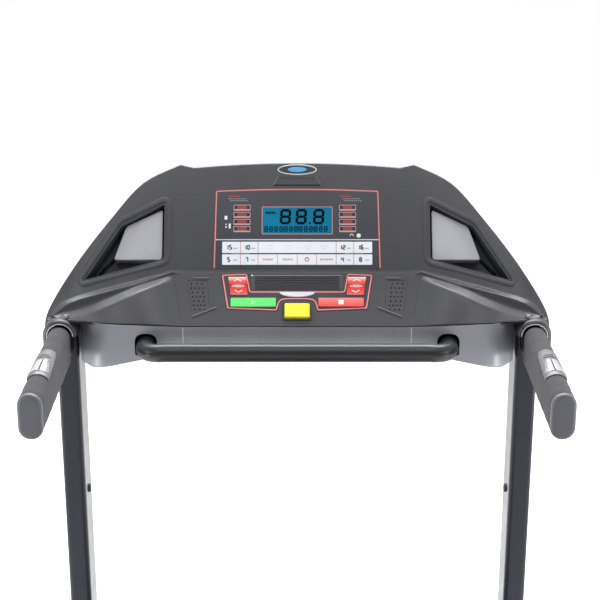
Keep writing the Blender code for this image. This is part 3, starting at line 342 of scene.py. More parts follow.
# ---------------------------------------------------------------- meshes
def panel_frame(origin, slope):
    """Maps (across, up the slope, out of the face) to the machine's frame."""
    made = Matrix.Identity(4)
    made.col[0][:3] = (1, 0, 0)
    made.col[1][:3] = (0, math.cos(slope), math.sin(slope))
    made.col[2][:3] = (0, -math.sin(slope), math.cos(slope))
    made.col[3][:3] = origin
    return made


def axes(origin, x, y):
    """A frame with its first two axes along two directions."""
    x, y = Vector(x).normalized(), Vector(y).normalized()
    made = Matrix.Identity(4)
    for i, axis in enumerate((x, y, x.cross(y))):
        made.col[i][:3] = axis
    made.col[3][:3] = origin
    return made


UPPER = panel_frame(UPPER_ORIGIN, UPPER_SLOPE)
LOWER = panel_frame(LOWER_ORIGIN, LOWER_SLOPE)


def add_loft(bm, rings, capped=True, closed=True):
    """Quads between rings of equal length, with end caps where they are asked for."""
    rows = [[bm.verts.new(p) for p in ring] for ring in rings]
    count = len(rows[0])
    for a, b in zip(rows, rows[1:]):
        for i in range(count if closed else count - 1):
            j = (i + 1) % count
            bm.faces.new((a[i], a[j], b[j], b[i]))
    if capped:
        bm.faces.new(rows[0][::-1])
        bm.faces.new(rows[-1])


def at_height(to, outline, height):
    return [to @ Vector((p.x, p.y, height)) for p in outline]


def add_plate(bm, to, outline, low, high, edge=0.0, steps=3):
    """A plate on a face, with a round upper edge."""
    rings = [at_height(to, outline, low), at_height(to, outline, high - edge)]
    for i in range(1, steps + 1 if edge > 0 else 1):
        a = math.pi / 2 * i / steps
        inside = beside(outline, -edge * (1 - math.cos(a)))
        rings.append(at_height(to, inside, high - edge + edge * math.sin(a)))
    add_loft(bm, rings)


def add_strip(bm, to, line, width, low, high, closed=True):
    """A printed or raised line on a face, of constant width."""
    outer, inner = beside(line, width / 2, closed), beside(line, -width / 2, closed)
    loops = []
    for side, height in ((outer, low), (outer, high), (inner, high), (inner, low)):
        loops.append([bm.verts.new(p) for p in at_height(to, side, height)])
    count = len(line)
    for a, b in zip(loops, loops[1:] + loops[:1]):
        for i in range(count if closed else count - 1):
            j = (i + 1) % count
            bm.faces.new((a[i], a[j], b[j], b[i]))
    if not closed:
        for i in (0, -1):
            bm.faces.new([loop[i] for loop in loops])


def add_turned(bm, to, profile, sides=32):
    """A turned solid about the frame's third axis: profile holds (radius, height)."""
    add_loft(bm, [at_height(to, circle(0, 0, radius, sides), height) for radius, height in profile])


def add_box(bm, low, high, edge=0.0):
    outline = box_outline(low[0], low[1], high[0], high[1], edge, 2)
    add_plate(bm, Matrix.Identity(4), outline, low[2], high[2], edge)


def add_tube(bm, path, radius, sides=28, capped=True):
    """A round tube along a line of points."""
    rings = []
    for i, p in enumerate(path):
        ahead = path[min(i + 1, len(path) - 1)] - path[max(i - 1, 0)]
        across = ahead.normalized().cross(Vector((0, 0, 1))).normalized()
        rings.append(at_height(axes(p, across, across.cross(ahead.normalized())), circle(0, 0, radius, sides), 0))
    add_loft(bm, rings, capped)


def piece(name, build, mat, stands_for=(), body=None, angle=38, flip=True):
    """One shown piece. It rides on the body of the node that it stands for, or else on the one named."""
    bm = bmesh.new()
    build(bm)
    if flip:
        bmesh.ops.recalc_face_normals(bm, faces=bm.faces)
    mesh = bpy.data.meshes.new(name)
    bm.to_mesh(mesh)
    bm.free()
    mesh.materials.append(mat)
    obj = bpy.data.objects.new(name, mesh)
    bpy.context.scene.collection.objects.link(obj)
    shade_by_angle(mesh, angle)
    even_normals(obj)
    stands_for = [stands_for] if isinstance(stands_for, str) else list(stands_for)
    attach(obj, body or (nodes[stands_for[0]]["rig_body"] if stands_for else "root"))
    if stands_for:
        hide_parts(*stands_for)
    return obj


def shade_by_angle(mesh, angle):
    mesh.shade_smooth()
    mesh.set_sharp_from_angle(angle=math.radians(angle))


def even_normals(obj):
    """Keeps broad flat faces flat beside their rounded edges."""
    mod = obj.modifiers.new("even", "WEIGHTED_NORMAL")
    mod.keep_sharp = True


def bake_modifiers(obj, cutters=(), angle=38):
    """Replaces the mesh by what its modifiers make of it, and removes the shapes they used."""
    obj.modifiers.remove(obj.modifiers["even"])
    evaluated = obj.evaluated_get(bpy.context.evaluated_depsgraph_get())
    made = bpy.data.meshes.new_from_object(evaluated)
    obj.modifiers.clear()
    obj.data = made
    shade_by_angle(made, angle)
    even_normals(obj)
    for cutter in cutters:
        bpy.data.objects.remove(cutter)


def carve(obj, builds):
    """Cuts shapes out of a solid, one after the other, and returns the hidden shapes."""
    cutters = []
    for build in builds:
        bm = bmesh.new()
        build(bm)
        bmesh.ops.recalc_face_normals(bm, faces=bm.faces)
        mesh = bpy.data.meshes.new("cutter")
        bm.to_mesh(mesh)
        bm.free()
        cutter = bpy.data.objects.new("cutter", mesh)
        bpy.context.scene.collection.objects.link(cutter)
        cutter.hide_render = True
        mod = obj.modifiers.new("cut", "BOOLEAN")
        mod.object = cutter
        mod.operation = "DIFFERENCE"
        cutters.append(cutter)
    return cutters


def bevelled(obj, width, segments=2, angle=40):
    mod = obj.modifiers.new("edge", "BEVEL")
    mod.width = width
    mod.segments = segments
    mod.limit_method = "ANGLE"
    mod.angle_limit = math.radians(angle)
    mod.harden_normals = False


def solidified(obj, thickness=WALL):
    mod = obj.modifiers.new("wall", "SOLIDIFY")
    mod.thickness = thickness
    mod.offset = -1


# ---------------------------------------------------------------- console: upper shell
# Key points of the right half in the console frame: seam, foot of the band, ridge and rim.
SHELL_KEYS = [
    ((0.000, 0.000, -0.049), (0.000, 0.0660, 0.00638), (0.000, 0.08432, 0.02175), (0.000, 0.18523, 0.1965)),
    ((0.165, 0.000, -0.049), (0.176, 0.0670, 0.00722), (0.185, 0.08432, 0.02175), (0.184, 0.18088, 0.1890)),
    ((0.198, 0.000, -0.049), (0.217, 0.0775, 0.0150), (0.221, 0.0850, 0.0245), (0.209, 0.1835, 0.1940)),
    ((0.250, 0.000, -0.047), (0.266, 0.0380, 0.0045), (0.285, 0.0720, 0.0110), (0.275, 0.1660, 0.1640)),
    ((0.300, 0.000, -0.045), (0.319, 0.0250, -0.0180), (0.345, 0.0620, -0.0020), (0.332, 0.1330, 0.1060)),
    ((0.345, 0.002, -0.043), (0.357, 0.0200, -0.0320), (0.388, 0.0540, -0.0120), (0.392, 0.0910, 0.0340)),
    ((0.376, 0.008, -0.0435), (0.386, 0.0200, -0.0370), (0.412, 0.0460, -0.0220), (0.437, 0.0510, -0.0360)),
    ((0.412, 0.014, -0.044), (0.418, 0.0220, -0.0400), (0.430, 0.0360, -0.0400), (0.4425, 0.0280, -0.0750)),
]
TOP_FALL = 0.40            # slope of the shell's top behind the rim
WING_FOOT = -0.082
TOP_ARCH = 0.0075          # rise of the centre's top edge between the shoulders
GROOVE_FOOT = Vector((0.58, 0.58, 0.40))     # where the dark groove starts, from band to ridge
GROOVE_HEAD = Vector((0.64, 0.64, 0.98))
FACE_ROWS = 6
CAST_HEIGHT = 0.06         # rays at the shell start this far out of its faces


def back_face_y(z):
    share = (z - BACK_FOOT.y) / (BACK_HEAD.y - BACK_FOOT.y)
    return BACK_FOOT.x + share * (BACK_HEAD.x - BACK_FOOT.x)


def catmull(a, b, c, d, t):
    """A point between b and c on a smooth curve through a, b, c and d."""
    return 0.5 * (2 * b + (c - a) * t + (2 * a - 5 * b + 4 * c - d) * t ** 2 + (3 * b - a - 3 * c + d) * t ** 3)


def shell_columns():
    """Key points of each fine column of the right half, centre line first."""
    keys = [[Vector(p) for p in column] for column in SHELL_KEYS]
    made = []
    centre_steps, crease_steps, wing_steps = 8, 3, 6
    for i in range(centre_steps):
        t = i / centre_steps
        column = [a.lerp(b, t) for a, b in zip(keys[0], keys[1])]
        column[3].z = keys[0][3].z - TOP_ARCH * t ** 2
        column[3].y = UPPER_ORIGIN.y - CONSOLE.y + (column[3].z - 0.029) / math.tan(UPPER_SLOPE)
        made.append(column)
    for i in range(crease_steps):
        made.append([a.lerp(b, i / crease_steps) for a, b in zip(keys[1], keys[2])])
    for i in range(2, len(keys) - 1):
        before, after = keys[max(i - 1, 2)], keys[min(i + 2, len(keys) - 1)]
        for k in range(wing_steps):
            rows = zip(before, keys[i], keys[i + 1], after)
            made.append([catmull(a, b, c, d, k / wing_steps) for a, b, c, d in rows])
    made.append(keys[-1])
    return made


def rim_back(rim):
    """Where the shell's top meets the back cover: the top slopes down from the rim towards the back."""
    depth = back_face_y(rim.z) - rim.y
    z = rim.z - min(TOP_FALL * depth, rim.z - WING_FOOT)
    return Vector((rim.x, back_face_y(z) - 0.0006, z))


def shell_line(column):
    """One column's rounded line, from under the front seam, over the rim, to the back cover."""
    seam, band, ridge, rim = column
    span = ridge - band
    centre = seam.x < SHELL_KEYS[2][0][0] - 0.001
    lows, highs = (0.5, 0.75) if centre else (None, None)
    groove_foot = band + span * lows if centre else band + Vector([a * b for a, b in zip(span, GROOVE_FOOT)])
    groove_head = band + span * highs if centre else band + Vector([a * b for a, b in zip(span, GROOVE_HEAD)])
    face = [ridge.lerp(rim, i / FACE_ROWS) for i in range(1, FACE_ROWS)]
    line = [seam + Vector((0, 0.006, -0.0004)), seam, band, groove_foot, groove_head, ridge, *face, rim, rim_back(rim)]
    reach = [0, 0.004, 0.005, 0.0012, 0.0016, 0.0055 if centre else 0.004, *[0] * len(face), 0.0045, 0]
    return soften(line, reach, 4, closed=False)


def upper_shell():
    half = [[CONSOLE + p for p in shell_line(column)] for column in shell_columns()]
    columns = [mirror(line)[::-1] for line in half[:0:-1]] + half

    def build(bm):
        grid = [[bm.verts.new(p) for p in line] for line in columns]
        for a, b in zip(grid, grid[1:]):
            for i in range(len(a) - 1):
                bm.faces.new((a[i], b[i], b[i + 1], a[i + 1]))
    obj = piece("upper_console_shell", build, CHARCOAL, "console_upper_shell", flip=False)
    return obj, columns


def cut_upper_shell(obj):
    """Openings of the trays, the key panel, the fan, the safety key and the speakers."""
    solidified(obj)
    builds = []
    for side in (-1, 1):
        builds.append(lambda bm, s=side: add_plate(bm, UPPER, sided(TRAY_MOUTH, s), -0.030, 0.040))
        builds.append(lambda bm, s=side: add_plate(
            bm, LOWER, sided(beside(SPEAKER, 0.0004), s), -0.012, 0.014))
    builds.append(lambda bm: add_plate(bm, LOWER, beside(CONTROL_FILM, 0.0004), -0.012, 0.014))
    builds.append(lambda bm: add_plate(bm, LOWER, beside(FAN_PLATE, 0.0003), -0.012, 0.014))
    builds.append(lambda bm: add_plate(bm, LOWER, beside(SOCKET, 0.0003), -0.012, 0.014))
    cutters = carve(obj, builds)
    bevelled(obj, 0.0009, 2)
    bake_modifiers(obj, cutters)


# Outlines on the key face and the display face, right side first where they come in pairs.
TRAY_MOUTH = soften(flat([(0.233, 0.0140), (0.380, -0.0270), (0.314, 0.0797), (0.233, 0.1212)]), 0.009, 5)
SPEAKER = soften(flat([(0.152, 0.028), (0.184, 0.028), (0.194, 0.094), (0.158, 0.094)]), 0.004)
CONTROL_LINE = flat([
    (-0.1205, 0.0375), (-0.0365, 0.0335), (-0.0315, 0.0530), (-0.0205, 0.0565), (0.0205, 0.0565),
    (0.0315, 0.0530), (0.0365, 0.0335), (0.1205, 0.0375), (0.1315, 0.1045), (0.0895, 0.1065),
    (0.0830, 0.0700), (-0.0830, 0.0700), (-0.0895, 0.1065), (-0.1315, 0.1045),
])
CONTROL_FILM = soften(beside(CONTROL_LINE, 0.0022), 0.0025, 3)
FAN_PLATE = flat([(-0.0790, 0.0728), (0.0790, 0.0728), (0.0840, 0.1060), (-0.0840, 0.1060)])
SAFETY_KEY = box_outline(-0.0220, 0.0160, 0.0220, 0.0445, 0.0030)
SOCKET = box_outline(-0.0255, 0.0125, 0.0255, 0.0500, 0.0040)
START_KEY = box_outline(-0.1160, 0.0395, -0.0370, 0.0575, 0.0022)
ROCKER_SPANS = {"down": (0.0640, 0.0790), "up": (0.0850, 0.1005)}
FILM_TOP = 0.0005


def rocker_x(v):
    """Inner and outer edge of the right rocker key at a height on the key face."""
    return 0.0865 + 0.08 * (v - 0.064), 0.1165 + 0.14 * (v - 0.064)


def rocker_outline(low, high, radius=0.0018):
    (a, b), (c, d) = rocker_x(low), rocker_x(high)
    return soften(flat([(a, low), (b, low), (d, high), (c, high)]), radius, 3)


KEYS = {
    "start_key": (START_KEY, GREEN_KEY, "green_key"),
    "stop_key": (mirror(START_KEY), STOP_RED, "red_key"),
    "incline_up_key": (mirror(rocker_outline(*ROCKER_SPANS["up"])), UP_RED, "red_key"),
    "incline_down_key": (mirror(rocker_outline(*ROCKER_SPANS["down"])), DOWN_RED, "red_key"),
    "speed_up_key": (rocker_outline(*ROCKER_SPANS["up"]), UP_RED, "red_key"),
    "speed_down_key": (rocker_outline(*ROCKER_SPANS["down"]), DOWN_RED, "red_key"),
}


def surface_of(columns):
    """Casts a ray at the upper shell; returns the point it hits, or else the nearest, and its normal."""
    count = len(columns[0])
    points = [p for line in columns for p in line]
    quads = []
    for c in range(len(columns) - 1):
        for i in range(count - 1):
            a = c * count + i
            quads.append((a, a + count, a + count + 1, a + 1))
    tree = BVHTree.FromPolygons(points, quads)

    def cast(start, direction):
        place, normal, _, _ = tree.ray_cast(start, direction)
        if place is None:
            place, normal, _, _ = tree.find_nearest(start + direction * CAST_HEIGHT)
        return place, normal
    return cast


def add_rows(bm, rows, closed=True):
    """A closed moulding from lengthwise rows of points, given around its section."""
    loops = [[bm.verts.new(p) for p in row] for row in rows]
    count = len(rows[0])
    for a, b in zip(loops, loops[1:] + loops[:1]):
        for i in range(count if closed else count - 1):
            j = (i + 1) % count
            bm.faces.new((a[i], a[j], b[j], b[i]))
    if not closed:
        for i in (0, -1):
            bm.faces.new([loop[i] for loop in loops])


def add_bead(bm, to, line, width, lift, cast, closed=True, sink=0.0010, steps=6):
    """A rounded raised line that follows the shell's surface."""
    out = to.to_3x3() @ Vector((0, 0, 1))
    rows = []
    for k in range(steps + 1):
        a = math.pi * k / steps
        row = []
        for p in beside(line, width / 2 * math.cos(a), closed):
            place, _ = cast(to @ Vector((p.x, p.y, CAST_HEIGHT)), -out)
            row.append(place + out * lift * math.sin(a))
        rows.append(row)
    for share in (-0.9, 0.9):
        row = []
        for p in beside(line, width / 2 * share, closed):
            place, _ = cast(to @ Vector((p.x, p.y, CAST_HEIGHT)), -out)
            row.append(place - out * sink)
        rows.append(row)
    add_rows(bm, rows, closed)


def trays(cast):
    """Deep wing pockets, each with a pale plate raised from its floor that is painted reflection of the brightly lit
    back wall, and a soft raised lip around the mouth.
    """
    depth, wall = 0.043, 0.0026
    out = UPPER.to_3x3() @ Vector((0, 0, 1))
    for side, label in SIDES:
        outer = sided(beside(TRAY_MOUTH, -0.0004), side)
        inner = beside(outer, -wall)
        floor_outline = beside(outer, -wall - 0.004)

        def cup(bm):
            def lip(outline):
                made = []
                for p in outline:
                    place, _ = cast(UPPER @ Vector((p.x, p.y, CAST_HEIGHT)), -out)
                    made.append(place - out * 0.0012)
                return made
            rings = [
                at_height(UPPER, outer, -depth - wall), lip(outer), lip(inner),
                at_height(UPPER, inner, -depth + 0.004), at_height(UPPER, floor_outline, -depth),
            ]
            add_loft(bm, rings)
        piece(label + "_tray_pocket", cup, TRAY_WALL, label + "_tray", angle=50)
        # Painted reflection: this pale plate stands for the pocket's back wall, bright where it reflects the lamps.
        reflection_plate_corners = flat([(0.2400, 0.0180), (0.3260, 0.0180), (0.3050, 0.0790), (0.2400, 0.1105)])

        def mat(bm):
            outline = sided(soften(reflection_plate_corners, 0.005, 3), side)
            add_plate(bm, UPPER, outline, -depth - 0.0005, -depth + 0.0290, 0.0014)
        piece(label + "_tray_mat", mat, TRAY_PAINTED_REFLECTION)
        rim = sided(beside(TRAY_MOUTH, 0.0052), side)
        piece(label + "_tray_lip", lambda bm: add_bead(bm, UPPER, rim, 0.0110, 0.0016, cast), CHARCOAL)


def top_badge():
    """A plain oval badge at the top edge, over a sloping ledge with bright ends."""
    def ledge(bm):
        corners = flat([(-0.0420, 0.1515), (0.0420, 0.1515), (0.0334, 0.1665), (-0.0334, 0.1665)])
        outline = soften(corners, 0.0015, 3)
        rise = [0.0004 + 0.0036 * (0.1665 - p.y) / 0.0150 for p in outline]
        inner = beside(outline, -0.0008)
        rings = [at_height(UPPER, outline, -0.0010),
                 [UPPER @ Vector((p.x, p.y, h - 0.0006)) for p, h in zip(outline, rise)],
                 [UPPER @ Vector((p.x, p.y, h)) for p, h in zip(inner, rise)]]
        add_loft(bm, rings)
    piece("badge_ledge", ledge, CHARCOAL)

    def ends(bm):
        for side in (-1, 1):
            low, high = Vector((side * 0.0426, 0.1512)), Vector((side * 0.0332, 0.1674))
            rings = []
            for p, h in ((low, 0.0042), (high, 0.0012)):
                rings.append([UPPER @ Vector((p.x - side * 0.0009, p.y, -0.0005)),
                              UPPER @ Vector((p.x + side * 0.0009, p.y, -0.0005)),
                              UPPER @ Vector((p.x + side * 0.0009, p.y, h)),
                              UPPER @ Vector((p.x - side * 0.0009, p.y, h))])
            add_loft(bm, rings)
    piece("badge_ledge_ends", ends, HOUSING_GREY)

    def oval(half_w, half_h):
        return [Vector((half_w * p.x, 0.1800 + half_h * p.y)) for p in circle(0, 0, 1, 48)]
    piece("plain_badge_rim", lambda bm: add_plate(bm, UPPER, oval(0.0352, 0.0098), -0.0040, 0.0016, 0.0010),
          SILVER_PRINT_AND_HIGHLIGHT)
    piece("plain_badge_field", lambda bm: add_plate(bm, UPPER, oval(0.0328, 0.0078), 0.0010, 0.0020, 0.0004),
          PRINT_BLACK)
    piece("plain_badge_band", lambda bm: add_plate(bm, UPPER, oval(0.0170, 0.0046), 0.0018, 0.0023, 0.0002),
          BADGE_BLUE)


def shell_trim(cast):
    """Parting lines, speaker ribs in a lighter grey that is painted highlight, the top tab, the plain badge and the
    wings' screw caps.
    """
    out = LOWER.to_3x3() @ Vector((0, 0, 1))

    def parting(bm):
        for side in (-1, 1):
            line = flat([(0.1978, 0.0010), (0.2045, 0.0360), (0.2110, 0.0700), (0.2168, 0.0955)])
            add_bead(bm, LOWER, [Vector((side * p.x, p.y)) for p in line], 0.0016, 0.0003, cast, False)
    piece("shell_parting_lines", parting, DARK)

    # Raised ribs along the speaker's bottom and top edges. Their lighter grey is painted highlight on edges that catch
    # the light.
    def ribs(bm):
        for side in (-1, 1):
            for line in ([(0.1400, 0.0390), (0.1815, 0.0200)], [(0.1550, 0.0990), (0.1830, 0.0990)]):
                points = [Vector((side * x, v)) for x, v in line]
                add_bead(bm, LOWER, points, 0.0034, 0.0020, cast, False)
    piece("speaker_ribs_painted_highlight", ribs, CAP_GREY_AND_RIB_HIGHLIGHT)

    top_badge()

    for side, label in SIDES:
        place, normal = cast(CONSOLE + Vector((side * 0.4035, 0.0240, 0.2)), Vector((0, 0, -1)))
        to = axes(place, Vector((0, 1, 0)).cross(normal), Vector((0, 1, 0)) - normal * normal.y)

        def ring(bm):
            add_strip(bm, to, circle(0, 0, 0.0062, 28), 0.0036, -0.0010, 0.0013)
        piece(label + "_screw_well", ring, DARK)

        def button(bm):
            add_turned(bm, to, [(0.0046, -0.0010), (0.0046, 0.0004), (0.0038, 0.0012), (0.0020, 0.0015)])
        piece(label + "_screw_cap", button, HOUSING_GREY)


# ---------------------------------------------------------------- console: lower shell
PLAN_CORNER = flat([(0.0, 0.0), (0.198, 0.0), (0.270, 0.0), (0.349, 0.0), (0.3840, 0.0520), (0.3860, 0.1580)])
FOOT_XS = ((0.0, -0.097), (0.198, -0.099), (0.270, -0.112), (0.340, -0.127), (0.358, -0.131), (0.40, -0.134))
SLOT_X = 0.262


def seam_z(x):
    """Height of the upper shell's front seam at a distance from the centre line."""
    seams = [column[0] for column in SHELL_KEYS]
    for a, b in zip(seams, seams[1:]):
        if x <= b[0]:
            return a[2] + (b[2] - a[2]) * (x - a[0]) / (b[0] - a[0])
    return seams[-1][2]


def foot_z(x):
    """Height of the lower shell's bottom edge at a distance from the centre line."""
    for (x0, z0), (x1, z1) in zip(FOOT_XS, FOOT_XS[1:]):
        if x <= x1:
            return z0 + (z1 - z0) * (x - x0) / (x1 - x0)
    return FOOT_XS[-1][1]


def slot_outline(grow=0.0):
    """The rounded slot that the front bar enters, in X and Z of the console frame."""
    half, top, foot = 0.0195, -0.0620, -0.1020
    points = flat([(-half, foot), (half, foot), (half, top), (-half, top)])
    points = soften(points, [0.004, 0.004, 0.017, 0.017], 6)
    return [Vector((SLOT_X + p.x, p.y)) for p in beside(points, grow)]


def lower_shell():
    rear = 0.158
    plan = soften(PLAN_CORNER, [0, 0, 0, 0.026, 0.012, 0], 8, closed=False)
    half = []
    for p in plan:
        foot = foot_z(p.x)
        line = [
            Vector((p.x, p.y, seam_z(p.x) - 0.0010)), Vector((p.x, p.y, foot)), Vector((p.x, rear, foot - 0.003)),
            Vector((p.x, rear + 0.002, -0.040)),
        ]
        half.append([CONSOLE + q for q in soften(line, [0, 0.006, 0.003, 0], 4, closed=False)])
    columns = [mirror(line)[::-1] for line in half[:0:-1]] + half

    def build(bm):
        grid = [[bm.verts.new(p) for p in line] for line in columns]
        for a, b in zip(grid, grid[1:]):
            for i in range(len(a) - 1):
                bm.faces.new((a[i + 1], b[i + 1], b[i], a[i]))
    obj = piece("lower_console_shell", build, METAL_GREY, "console_lower_shell", flip=False)
    solidified(obj, 0.0026)
    builds = []
    for side in (-1, 1):
        to = axes(CONSOLE, (1, 0, 0), (0, 0, 1))
        builds.append(lambda bm, s=side: add_plate(bm, to, sided(slot_outline(), s), -0.030, 0.030))
    cutters = carve(obj, builds)
    bevelled(obj, 0.0008, 2)
    bake_modifiers(obj, cutters)

    def wing_floors(bm):
        to = Matrix.Translation(CONSOLE)
        for side in (-1, 1):
            outline = flat([(0.350, 0.0080), (0.378, 0.0130), (0.412, 0.0180), (0.4360, 0.0300), (0.4350, 0.1720),
                            (0.350, 0.1720)])
            add_plate(bm, to, sided(outline, side), -0.0478, -0.0462)
    piece("wing_floors", wing_floors, CHARCOAL)

    def seams(bm):
        to = axes(CONSOLE, (1, 0, 0), (0, 0, 1))
        for side in (-1, 1):
            line = flat([(side * 0.1975, -0.0960), (side * 0.1975, -0.0500)])
            add_strip(bm, to, line, 0.0014, -0.0002, 0.0003, False)
    piece("lower_shell_seams", seams, SILVER_PRINT_AND_HIGHLIGHT)

    def sockets(bm):
        to = axes(CONSOLE, (1, 0, 0), (0, 0, 1))
        for side in (-1, 1):
            outline = sided(slot_outline(0.0010), side)
            add_strip(bm, to, outline, 0.0020, -0.0480, -0.0030)
            add_plate(bm, to, outline, -0.0500, -0.0470)
    piece("bar_sockets", sockets, DARK)


def back_cover():
    """The moulded cover behind the console, with a raised field, vents and its screws."""
    rim = [Vector(rim_back(column[-1]).xz) for column in shell_columns()]
    half = [p + Vector((-0.0008 if p.x > 0.001 else 0.0, -0.0006)) for p in rim]
    half += flat([(0.436, -0.082), (0.420, -0.0900), (0.368, -0.0920)])
    outline = half + [Vector((-p.x, p.y)) for p in half[:0:-1]]
    outline = outline[::-1]
    slope = (BACK_HEAD - BACK_FOOT).normalized()
    foot = CONSOLE + Vector((0, BACK_FOOT.x, BACK_FOOT.y))
    to = axes(foot, (-1, 0, 0), (0, slope.x, slope.y))

    def on_back(points):
        return [Vector((-p.x, (p.y - BACK_FOOT.y) / slope.y)) for p in points]
    edge = on_back(outline)[::-1]
    if sum(a.x * b.y - b.x * a.y for a, b in zip(edge, edge[1:] + edge[:1])) < 0:
        edge = edge[::-1]

    def plate(bm):
        add_plate(bm, to, edge, -0.0004, 0.0036, 0.0012)
    cover = piece("console_rear_cover", plate, CHARCOAL, "console_back_cover")

    def vents(bm):
        for row in range(6):
            v = 0.135 + row * 0.0125
            add_plate(bm, to, box_outline(-0.060, v, 0.060, v + 0.0050, 0.0024, 3), 0.0012, 0.0100)
        for side in (-1, 1):
            for row in range(4):
                v = 0.0700 + row * 0.0125
                x = side * 0.175
                add_plate(bm, to, box_outline(x - 0.022, v, x + 0.022, v + 0.0050, 0.0024, 3), 0.0012, 0.0100)
    cutters = carve(cover, [vents])
    bevelled(cover, 0.0005, 1)
    bake_modifiers(cover, cutters)

    def rib(bm):
        field = soften(flat([(-0.235, 0.030), (0.235, 0.030), (0.190, 0.262), (-0.190, 0.262)]), 0.020, 5)
        add_strip(bm, to, field, 0.0045, 0.0030, 0.0040)
    piece("rear_cover_rib", rib, CHARCOAL)

    def screws(bm):
        for x, v in ((0.205, 0.045), (0.175, 0.245), (0.330, 0.070), (0.300, 0.160), (0.410, 0.030)):
            for side in (-1, 1):
                spot = to @ Matrix.Translation((side * x, v, 0.0034))
                add_turned(bm, spot, [(0.0045, -0.001), (0.0045, 0.0008), (0.0036, 0.0016), (0.0012, 0.0016),
                                      (0.0012, 0.0006)], 20)
    piece("rear_cover_screws", screws, ZINC)


def handle_collars():
    """Arches at the wing ends that the handles come out of, each with a pale inner ring that is painted highlight on
    the arch's rounded inner lip.
    """
    inner_r, outer_r = 0.0224, 0.0300
    to = axes((0, 0, 0), (1, 0, 0), (0, 0, 1))
    centre_z = HANDLE_Z + 0.0382 - 0.0197

    def arch(x, radius, leg):
        points = [Vector((x + radius, centre_z - leg))]
        steps = 20
        for i in range(steps + 1):
            a = math.pi * i / steps
            points.append(Vector((x + radius * math.cos(a), centre_z + radius * math.sin(a))))
        return points

    for side, label in SIDES:
        x = HANDLE_X
        outer, inner = arch(x, outer_r, 0.0180), arch(x, inner_r, 0.0180)
        lips = [beside(inner, d, False) for d in (0.0012, 0.0028)]

        def collar(bm):
            rows = []
            for line, depth in ((outer, 0.080), (outer, 0.0120), (beside(outer, -0.0020, False), 0.0075),
                                (lips[1], 0.0060), (lips[0], 0.0075), (inner, 0.0100), (inner, 0.080)):
                front = CONSOLE.y + depth
                rows.append([Vector((side * p.x, front, p.y)) for p in line])
            add_rows(bm, rows, False)
        piece(label + "_handle_collar", collar, CHARCOAL, angle=50)

        # Painted highlight: a pale ring along the arch's inner lip stands for the light caught on its rounded edge.
        def trim(bm):
            rows = []
            front = CONSOLE.y + 0.0055
            for d, y in ((0.0000, 0.008), (0.0000, 0.0006), (0.0008, 0.0), (0.0016, 0.0006), (0.0016, 0.008)):
                rows.append([Vector((side * p.x, front + y, p.y)) for p in beside(inner, d - 0.0006, False)])
            add_rows(bm, rows, False)
        piece(label + "_collar_painted_highlight", trim, SILVER_PRINT_AND_HIGHLIGHT, angle=50)


# ---------------------------------------------------------------- display face
LCD = box_outline(-0.0610, 0.0630, 0.0610, 0.1100, 0.0008, 2)
FILM_EDGE = soften(flat([
    (-0.1470, -0.0010), (0.1470, -0.0010), (0.1440, 0.1420), (0.0720, 0.1448), (0.0, 0.1457),
    (-0.0720, 0.1448), (-0.1440, 0.1420),
]), [0.001, 0.001, 0.002, 0.02, 0.02, 0.02, 0.002], 3)
SEGMENTS = {
    "a": ((0.0, 1.0), (1.0, 1.0)), "b": ((1.0, 1.0), (1.0, 0.5)), "c": ((1.0, 0.5), (1.0, 0.0)),
    "d": ((0.0, 0.0), (1.0, 0.0)), "e": ((0.0, 0.0), (0.0, 0.5)), "f": ((0.0, 0.5), (0.0, 1.0)),
    "g": ((0.0, 0.5), (1.0, 0.5)),
}
DIGITS = {
    "0": "abcdef", "1": "bc", "2": "abged", "3": "abgcd", "4": "fgbc", "5": "afgcd", "6": "afgedc",
    "7": "abc", "8": "abcdefg",
}


def add_digit(bm, to, digit, x, v, width, height, stroke, low, high, lean=0.08):
    """A seven-segment digit with its foot at (x, v)."""
    for name in DIGITS[digit]:
        ends = []
        for a, b in SEGMENTS[name]:
            ends.append(Vector((x + a * width + b * height * lean, v + b * height)))
        along = (ends[1] - ends[0]).normalized()
        start, end = ends[0] + along * stroke * 0.15, ends[1] - along * stroke * 0.15
        add_strip(bm, to, [start, end], stroke, low, high, False)


def add_number(bm, to, digits, x, v, height, low, high):
    """Small printed digits, centred at (x, v)."""
    width, gap = height * 0.48, height * 0.34
    total = len(digits) * width + (len(digits) - 1) * gap
    for i, digit in enumerate(digits):
        add_digit(bm, to, digit, x - total / 2 + i * (width + gap), v - height / 2, width, height,
                  height * 0.26, low, high, 0.0)


def display_face():
    piece("display_film", lambda bm: add_plate(bm, UPPER, FILM_EDGE, -0.0010, FILM_TOP, 0.0002, 1), FILM,
          "display_overlay")
    line = flat([(0.1465, 0.0000), (0.1436, 0.1400), (0.0720, 0.1428), (0.0, 0.1437), (-0.0720, 0.1428),
                 (-0.1436, 0.1400), (-0.1465, 0.0000)])
    line = soften(line, [0, 0.002, 0.02, 0.02, 0.02, 0.002, 0], 3, closed=False)
    top = FILM_TOP + 0.0001
    piece("display_border", lambda bm: add_strip(bm, UPPER, line, 0.0031, 0.0001, top, False), PRINT_RED)
    piece("display_border_core", lambda bm: add_strip(bm, UPPER, line, 0.0016, 0.0001, top + 0.0001, False),
          PRINT_PINK)
    rule = flat([(-0.1440, 0.0515), (0.1440, 0.0515)])
    piece("display_rule", lambda bm: add_strip(bm, UPPER, rule, 0.0018, 0.0001, top, False), SILVER_PRINT_AND_HIGHLIGHT)
    lcd_window()
    quick_keys()
    small_keys()


